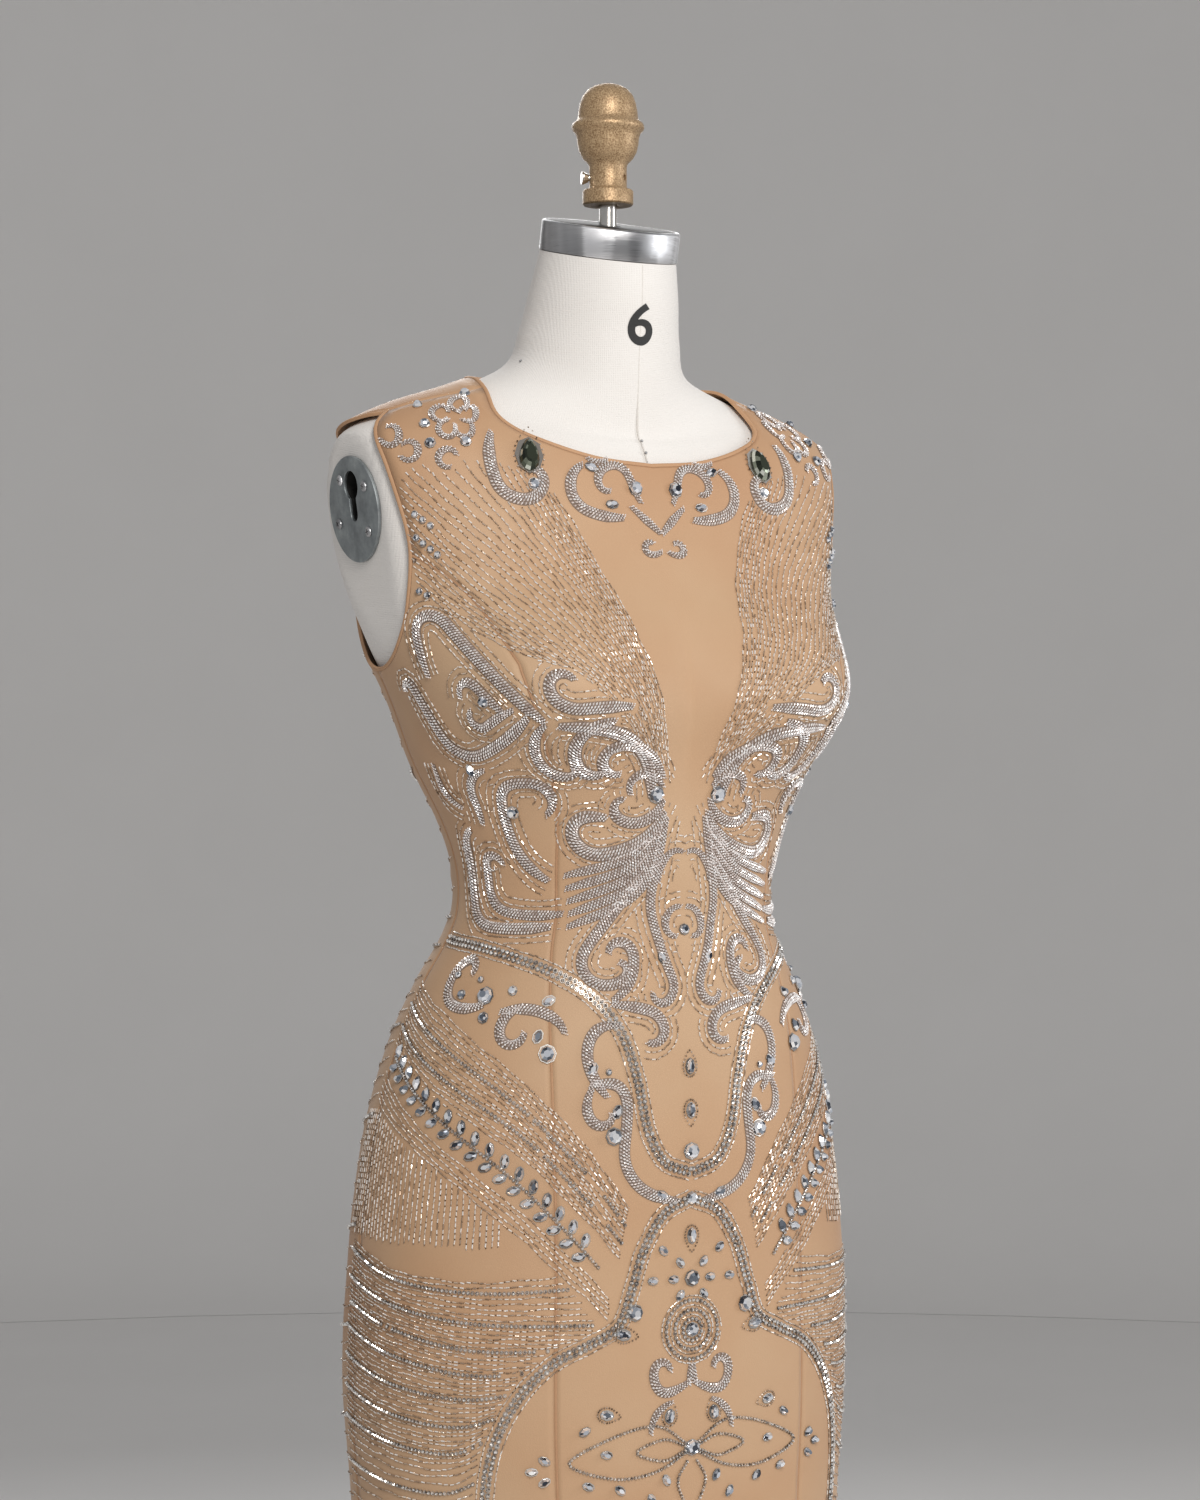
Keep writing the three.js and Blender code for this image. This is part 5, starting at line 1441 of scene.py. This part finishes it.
# The large drop stones on the front shoulders
# Painted reflections as on the other stones: each face takes a random brightness, mostly dark, a few pale.
smoky = Finish("smoky green crystal", Metallic=0.6, Roughness=0.05)
smoky.shade_by("painted_reflection", [
    (0.0, (0.01, 0.013, 0.009)), (0.4, (0.05, 0.06, 0.04)), (0.7, (0.28, 0.31, 0.24)),
    (1.0, (0.85, 0.88, 0.8)),
])
TRAYS["pear_stones"] = (DROP_STONE, smoky, "crystal")
trays["pear_stones"] = Tray(DROP_STONE)
for side in (-1, 1):
    sew_stone("pear_stones", side * 47, 1336, 90 - side * 20, 24, 17, 6, beads=True)
drops = sew_on("shoulder_drop")
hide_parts("shoulder_stone_left", "shoulder_stone_right")


# The zip's coil
# Nylon teeth in the cloth's colour, in two rows that mesh along the centre back. The slider and its pull
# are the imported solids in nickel.

tooth_finish = Finish("nylon coil", Roughness=0.4)
tooth_shade = tooth_finish.attribute("shade")
tooth_finish.set("Base Color", tooth_finish.mixed(tooth_shade, BINDING_COLOUR, (0.66, 0.42, 0.26)))
coil = Tray(BUGLE)
coil_run = Run(zip_line)
TOOTH_PITCH = 1.6
TOOTH_SIZE = (1.9, 1.0, 1.1)
TOOTH_SINK = 0.55                # its foot is this far under the cloth's outside
COIL_STOP = 12                   # from the tape's top, where the slider sits
for aside, shift in ((-0.75, 0), (0.75, TOOTH_PITCH / 2)):
    distance = np.arange(1, coil_run.length - COIL_STOP, TOOTH_PITCH) + shift
    points, along, normal = coil_run.at(distance, np.full(len(distance), aside))
    coil.add(points - normal * TOOTH_SINK, np.cross(normal, along), normal, TOOTH_SIZE)
coil.make("zip_coil", tooth_finish, "binding")

nickel = Finish("polished nickel", Metallic=1.0, Roughness=0.22)
nickel.mottle(300, 2, (0.6, 0.58, 0.55), (0.74, 0.72, 0.69))
for node in ("zip_slider", "zip_pull"):
    bpy.data.objects[node].material_slots[0].material = nickel.material


# The form's seams, size and pins
# The cover has a seam down the front of the neck. The size is a plain numeral printed beside it, and three
# steel pins stand in the cover.

stitched = Finish("cover seams", Roughness=0.9)
stitched.mottle(500, 1, (0.66, 0.62, 0.58), (0.78, 0.75, 0.71))
COVER_SEAM = [(-0.7, -0.4), (-0.35, 0.12), (0, 0.22), (0.35, 0.12), (0.7, -0.4)]
neck_front = np.column_stack([np.zeros(40), np.linspace(SHOULDER, NECK_TOP - 1, 40)])
bar("neck_front_seam", neck_front, COVER_SEAM, stitched, "linen")

ink = Finish("black ink", Roughness=0.6)
ink.mottle(800, 2, (0.012, 0.012, 0.012), (0.03, 0.03, 0.03))
NUMERAL_LOW = 1414               # the height of its foot on the cover
NUMERAL_TALL = 38
NUMERAL_STRETCH = 0.86           # of its width
INK_LIFT = 0.3                   # off the cover
bpy.ops.object.select_all(action="DESELECT")
bpy.ops.object.text_add()
numeral = bpy.context.object
numeral.name = "size_numeral"
numeral.data.body = "6"
numeral.data.offset = 0.016
numeral.data.resolution_u = 10
bpy.ops.object.convert(target="MESH")
bpy.ops.object.mode_set(mode="EDIT")
bpy.ops.mesh.select_all(action="SELECT")
bpy.ops.mesh.quads_convert_to_tris()
bpy.ops.mesh.subdivide(number_cuts=3)
bpy.ops.object.mode_set(mode="OBJECT")
numeral.data.materials.clear()
count = len(numeral.data.vertices)
flat = np.empty(count * 3)
numeral.data.vertices.foreach_get("co", flat)
flat = flat.reshape(-1, 3)
flat_low = flat.min(0)
size = flat.max(0) - flat_low
across = (flat[:, 0] - flat_low[0] - size[0] / 2) / size[1] * NUMERAL_TALL * NUMERAL_STRETCH
around, up = scale_at(0, NUMERAL_LOW)
heights = NUMERAL_LOW + (flat[:, 1] - flat_low[1]) / size[1] * NUMERAL_TALL / up
printed = stand_off(across / around, heights, INK_LIFT)
numeral.data.vertices.foreach_set("co", (printed * MILLIMETRE).ravel())
numeral.data.update()
finished(numeral, ink, "enamel")

steel = Finish("brushed steel", Metallic=1.0, Roughness=0.3, Anisotropic=0.8)
steel_x, steel_y, steel_z = steel.parts_of(steel.place())
brushed = steel.noise(steel.joined(steel_x * 20, steel_y * 20, steel_z * 900), 3, 3)
# The base colour is mostly painted reflection. Broad upright bands from near black to near white round each
# part stand in for the lamps that polished steel would mirror, and a tenth of it is the brushed grain.
painted_reflection_bands = steel.noise(steel.joined(steel_x * 30, steel_y * 30, 0.7), 1, 2)
steel.set("Base Color", steel.ramp(painted_reflection_bands * 0.9 + brushed * 0.1, [
    (0.36, (0.1, 0.1, 0.105)), (0.46, (0.4, 0.4, 0.41)), (0.54, (0.5, 0.5, 0.51)), (0.6, (0.95, 0.95, 0.97)),
]))
steel.set("Roughness", brushed * 0.2 + 0.22)
steel.bump(brushed, 0.0002, 0.4)
pins = Tray(turned_shape(((0.5, 0), (1, 0.5), (0.8, 0.85), (0.3, 1)), 10))
for angle, height in ((0, 1364), (0, 1349), (-86, 1396)):
    point = stand_off(np.array([angle]), np.array([height]), -0.2)
    normal = outwards(np.array([angle]), np.array([height]))
    along = np.cross(normal, np.array([[0, 0, 1.0]]))
    along /= np.linalg.norm(along)
    pins.add(point, along, normal, (2.2, 2.2, 1.6))
pins.make("cover_pins", steel, "steel")


# The arm plates
# Dull zinc discs let into the seats, each with a keyhole for an arm and four domed cross-head screws, whose
# cross recesses are dark bars of painted shade.

pocket_finish = Finish("pocket steel", Roughness=0.6, Metallic=0.6)
pocket_finish.mottle(200, 2, (0.015, 0.015, 0.015), (0.05, 0.048, 0.045))
zinc = Finish("dull zinc", Metallic=0.85, Roughness=0.5)
zinc_cloud = zinc.noise(zinc.place(), 70, 4, 0.65)
zinc.set("Base Color", zinc.ramp(zinc_cloud, [
    (0.3, (0.2, 0.22, 0.23)), (0.6, (0.34, 0.37, 0.38)), (0.75, (0.45, 0.48, 0.48)),
]))
zinc.set("Roughness", zinc_cloud * 0.4 + 0.3)
# Painted shade: near-black bars laid on the screw heads stand in for the shadow inside their cross recesses.
recess_shade_finish = Finish("painted shade of screw recesses", Roughness=0.7, Metallic=0.5)
slot_shade = recess_shade_finish.attribute("shade")
recess_shade_finish.set("Base Color", recess_shade_finish.mixed(slot_shade, (0.02, 0.02, 0.02), (0.05, 0.05, 0.05)))
PLATE_BACK_FACE = 0.3
PLATE_FRONT_FACE = 2.8
SCREW_CIRCLE = 25
SCREW_TURNS = (35, 125, 200, 320)
SCREW_HEIGHT = 1.6
screws = Tray(turned_shape(((0.9, 0), (1, 0.2), (0.92, 0.6), (0.6, 0.95), (0.2, 1)), 20))
recess_shade_bars = Tray(BUGLE)
for side, name in ((1, "left"), (-1, "right")):
    plate = prism(f"arm_disc_{name}", circle(PLATE["radius"], 96), PLATE_BACK_FACE, PLATE_FRONT_FACE)
    cut_away(plate, [prism("keyhole_cutter", keyhole_outline(0), PLATE_BACK_FACE - 1, PLATE_FRONT_FACE + 1)])
    apply_modifier(plate, "BEVEL", width=0.5 * MILLIMETRE, segments=3, limit_method="ANGLE")
    pocket = prism(f"keyhole_pocket_{name}", keyhole_outline(0.7), 0.4 - KEYHOLE["depth"], 0.2)
    cut_away(pocket, [prism("pocket_cutter", keyhole_outline(0.2), 0.9 - KEYHOLE["depth"], 4)])
    finished(onto_seat(pocket, side), pocket_finish, "steel", smooth=False)
    finished(onto_seat(plate, side), zinc, "zinc")
    soften(plate)
    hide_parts(f"arm_plate_{name}")
    origin, axes = seat_axes(side)
    level, up, out = (np.array(axis) for axis in axes)
    for turn in SCREW_TURNS:
        ahead, rise = heading_of(turn)
        middle = origin + (level * ahead + up * rise) * SCREW_CIRCLE + out * (PLATE_FRONT_FACE + 0.1)
        screws.add(middle[None], level[None], out[None], (7.4, 7.4, SCREW_HEIGHT))
        for cross_turn in (turn * 2, turn * 2 + 90):
            ahead, rise = heading_of(cross_turn)
            arm = level * ahead + up * rise
            recess_shade_bars.add((middle + out * 1.05)[None], arm[None], out[None], (4, 0.9, 0.75))
screw_heads = screws.make("arm_screws", steel, "zinc")
recess_shade_bars.make("arm_screw_crosses", recess_shade_finish, "zinc")
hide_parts(*(f"arm_screw_{name}_{n}" for name in ("left", "right") for n in (1, 2, 3, 4)))


# The neck cap
# A brushed steel cap over the slanting top of the neck, with a dark polished top plate let into it.

NECK_TILT = 0.2217
CAP_RISE = 21
CAP_SIDES = 96


def cap_ring(name, profile):
    """A ring in the cap's slant, turned from rows of radius and rise."""
    lean = math.hypot(1, NECK_TILT)
    rings = []
    for radius, rise in [*profile, profile[0]]:
        x, y = circle(radius, CAP_SIDES).T
        rings.append(np.column_stack([
            x, y - rise * NECK_TILT / lean, NECK_TOP + NECK_TILT * y + rise / lean,
        ]))
    faces = grid_faces(len(rings), CAP_SIDES, is_ring=True)
    return turned_out(mesh_piece(name, np.concatenate(rings), faces))


cap = cap_ring("cap_band", [
    (6.8, 0.3), (46.5, 0.3), (47.4, 0.7), (47.6, 1.5), (47.6, CAP_RISE - 1.5), (47.2, CAP_RISE - 0.6),
    (46.4, CAP_RISE), (45, CAP_RISE), (44.6, CAP_RISE - 0.8), (6.8, CAP_RISE - 0.8),
])
finished(cap, steel, "steel")
soften(cap, 50)
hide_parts("neck_cap")
dark_steel = Finish("dark polished steel", Roughness=0.6, Specular_IOR_Level=0.15)
dark_steel.mottle(40, 3, (0.025, 0.024, 0.024), (0.06, 0.058, 0.056))
cap_top = cap_ring("cap_top", [
    (6.8, CAP_RISE - 0.7), (44.4, CAP_RISE - 0.7), (44.4, CAP_RISE - 0.2), (44, CAP_RISE), (6.8, CAP_RISE),
])
finished(cap_top, dark_steel, "steel")
soften(cap_top, 50)


# The knob
# A turned and hammered bronze knob on a bright steel rod, held by a small thumb screw. The hole in its
# side takes a second one.

bronze = Finish("hammered bronze paint", Metallic=0.45, Roughness=0.38)
bronze_place = bronze.place()
hammered = bronze.noise(bronze_place, 1000, 2, 0.6)
bronze.set("Base Color", bronze.ramp(hammered, [
    (0.35, (0.24, 0.145, 0.07)), (0.5, (0.45, 0.3, 0.165)), (0.7, (0.62, 0.45, 0.27)),
]))
bronze.set("Roughness", bronze.noise(bronze_place, 60, 2) * 0.3 + 0.25)
bronze.bump(hammered, 0.0004, 0.6)
KNOB_BASE = 1505
KNOB_PROFILE = [
    (6.6, 39), (6.6, 0.4), (7.2, 0), (16.6, 0), (17.5, 1), (17.5, 9.6), (16.8, 10.5), (14, 11.2), (13, 12.6),
    (13, 26.5), (13.8, 28.8), (17.4, 32.4), (19.8, 36.8), (21, 42), (21.6, 47), (22.6, 50), (24.4, 51.6),
    (25, 53), (25, 54.6), (24.2, 56.4), (22, 58), (20.8, 60), (20.3, 65), (19.3, 70.5), (17.3, 75.6),
    (14, 79.6), (9.6, 82.2), (5, 83.6), (0, 84), (0, 39),
]
knob = lathe("hammered_knob", [(radius, KNOB_BASE + height) for radius, height in KNOB_PROFILE], 80)
HOLE_TURN = math.radians(34)
THUMB_TURN = math.radians(-112)
SET_PLACE = (0, 0, KNOB_BASE + 18.5)


def spoke_axes(turn):
    """Axes of what points out from the upright axis at a turn from the front."""
    out = Vector((math.sin(turn), -math.cos(turn), 0))
    side = Vector((0, 0, 1)).cross(out)
    return side, Vector((0, 0, 1)), out


for radius, start, end, turn in ((2.3, 9, 16, HOLE_TURN), (2.5, 3, 20, THUMB_TURN)):
    drill = prism("hole_cutter", circle(radius, 24), start, end)
    cut_away(knob, [moved(drill, SET_PLACE, spoke_axes(turn))])
finished(knob, bronze, "bronze")
soften(knob, 40)
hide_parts("knob")

thumb = lathe("set_thumb_screw", [
    (0, 6.4), (2.1, 6.4), (2.1, 13.5), (2.9, 13.7), (3.4, 15), (4.5, 17), (4.6, 18.2), (4.1, 18.5), (0, 18.5),
], 14)
moved(thumb, SET_PLACE, spoke_axes(THUMB_TURN))
finished(thumb, nickel, "steel")
soften(thumb, 20)
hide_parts("thumb_screw")
ROD_LOW = 1430.4
ROD_HIGH = 1544.4
rod = lathe("steel_rod", [(0, ROD_LOW), (ROD_RADIUS, ROD_LOW), (ROD_RADIUS, ROD_HIGH), (0, ROD_HIGH)], 48)
finished(rod, nickel, "steel")
soften(rod)
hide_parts("knob_rod")


# The stand
# A black enamelled pole in a round cast foot, under the skirt.

enamel = Finish("black enamel", Roughness=0.3)
enamel.mottle(30, 3, (0.012, 0.012, 0.013), (0.03, 0.03, 0.032))
enamel.bump(enamel.noise(enamel.place(), 260, 3), 0.0003, 0.4)
for node in ("pole", "foot"):
    bpy.data.objects[node].material_slots[0].material = enamel.material
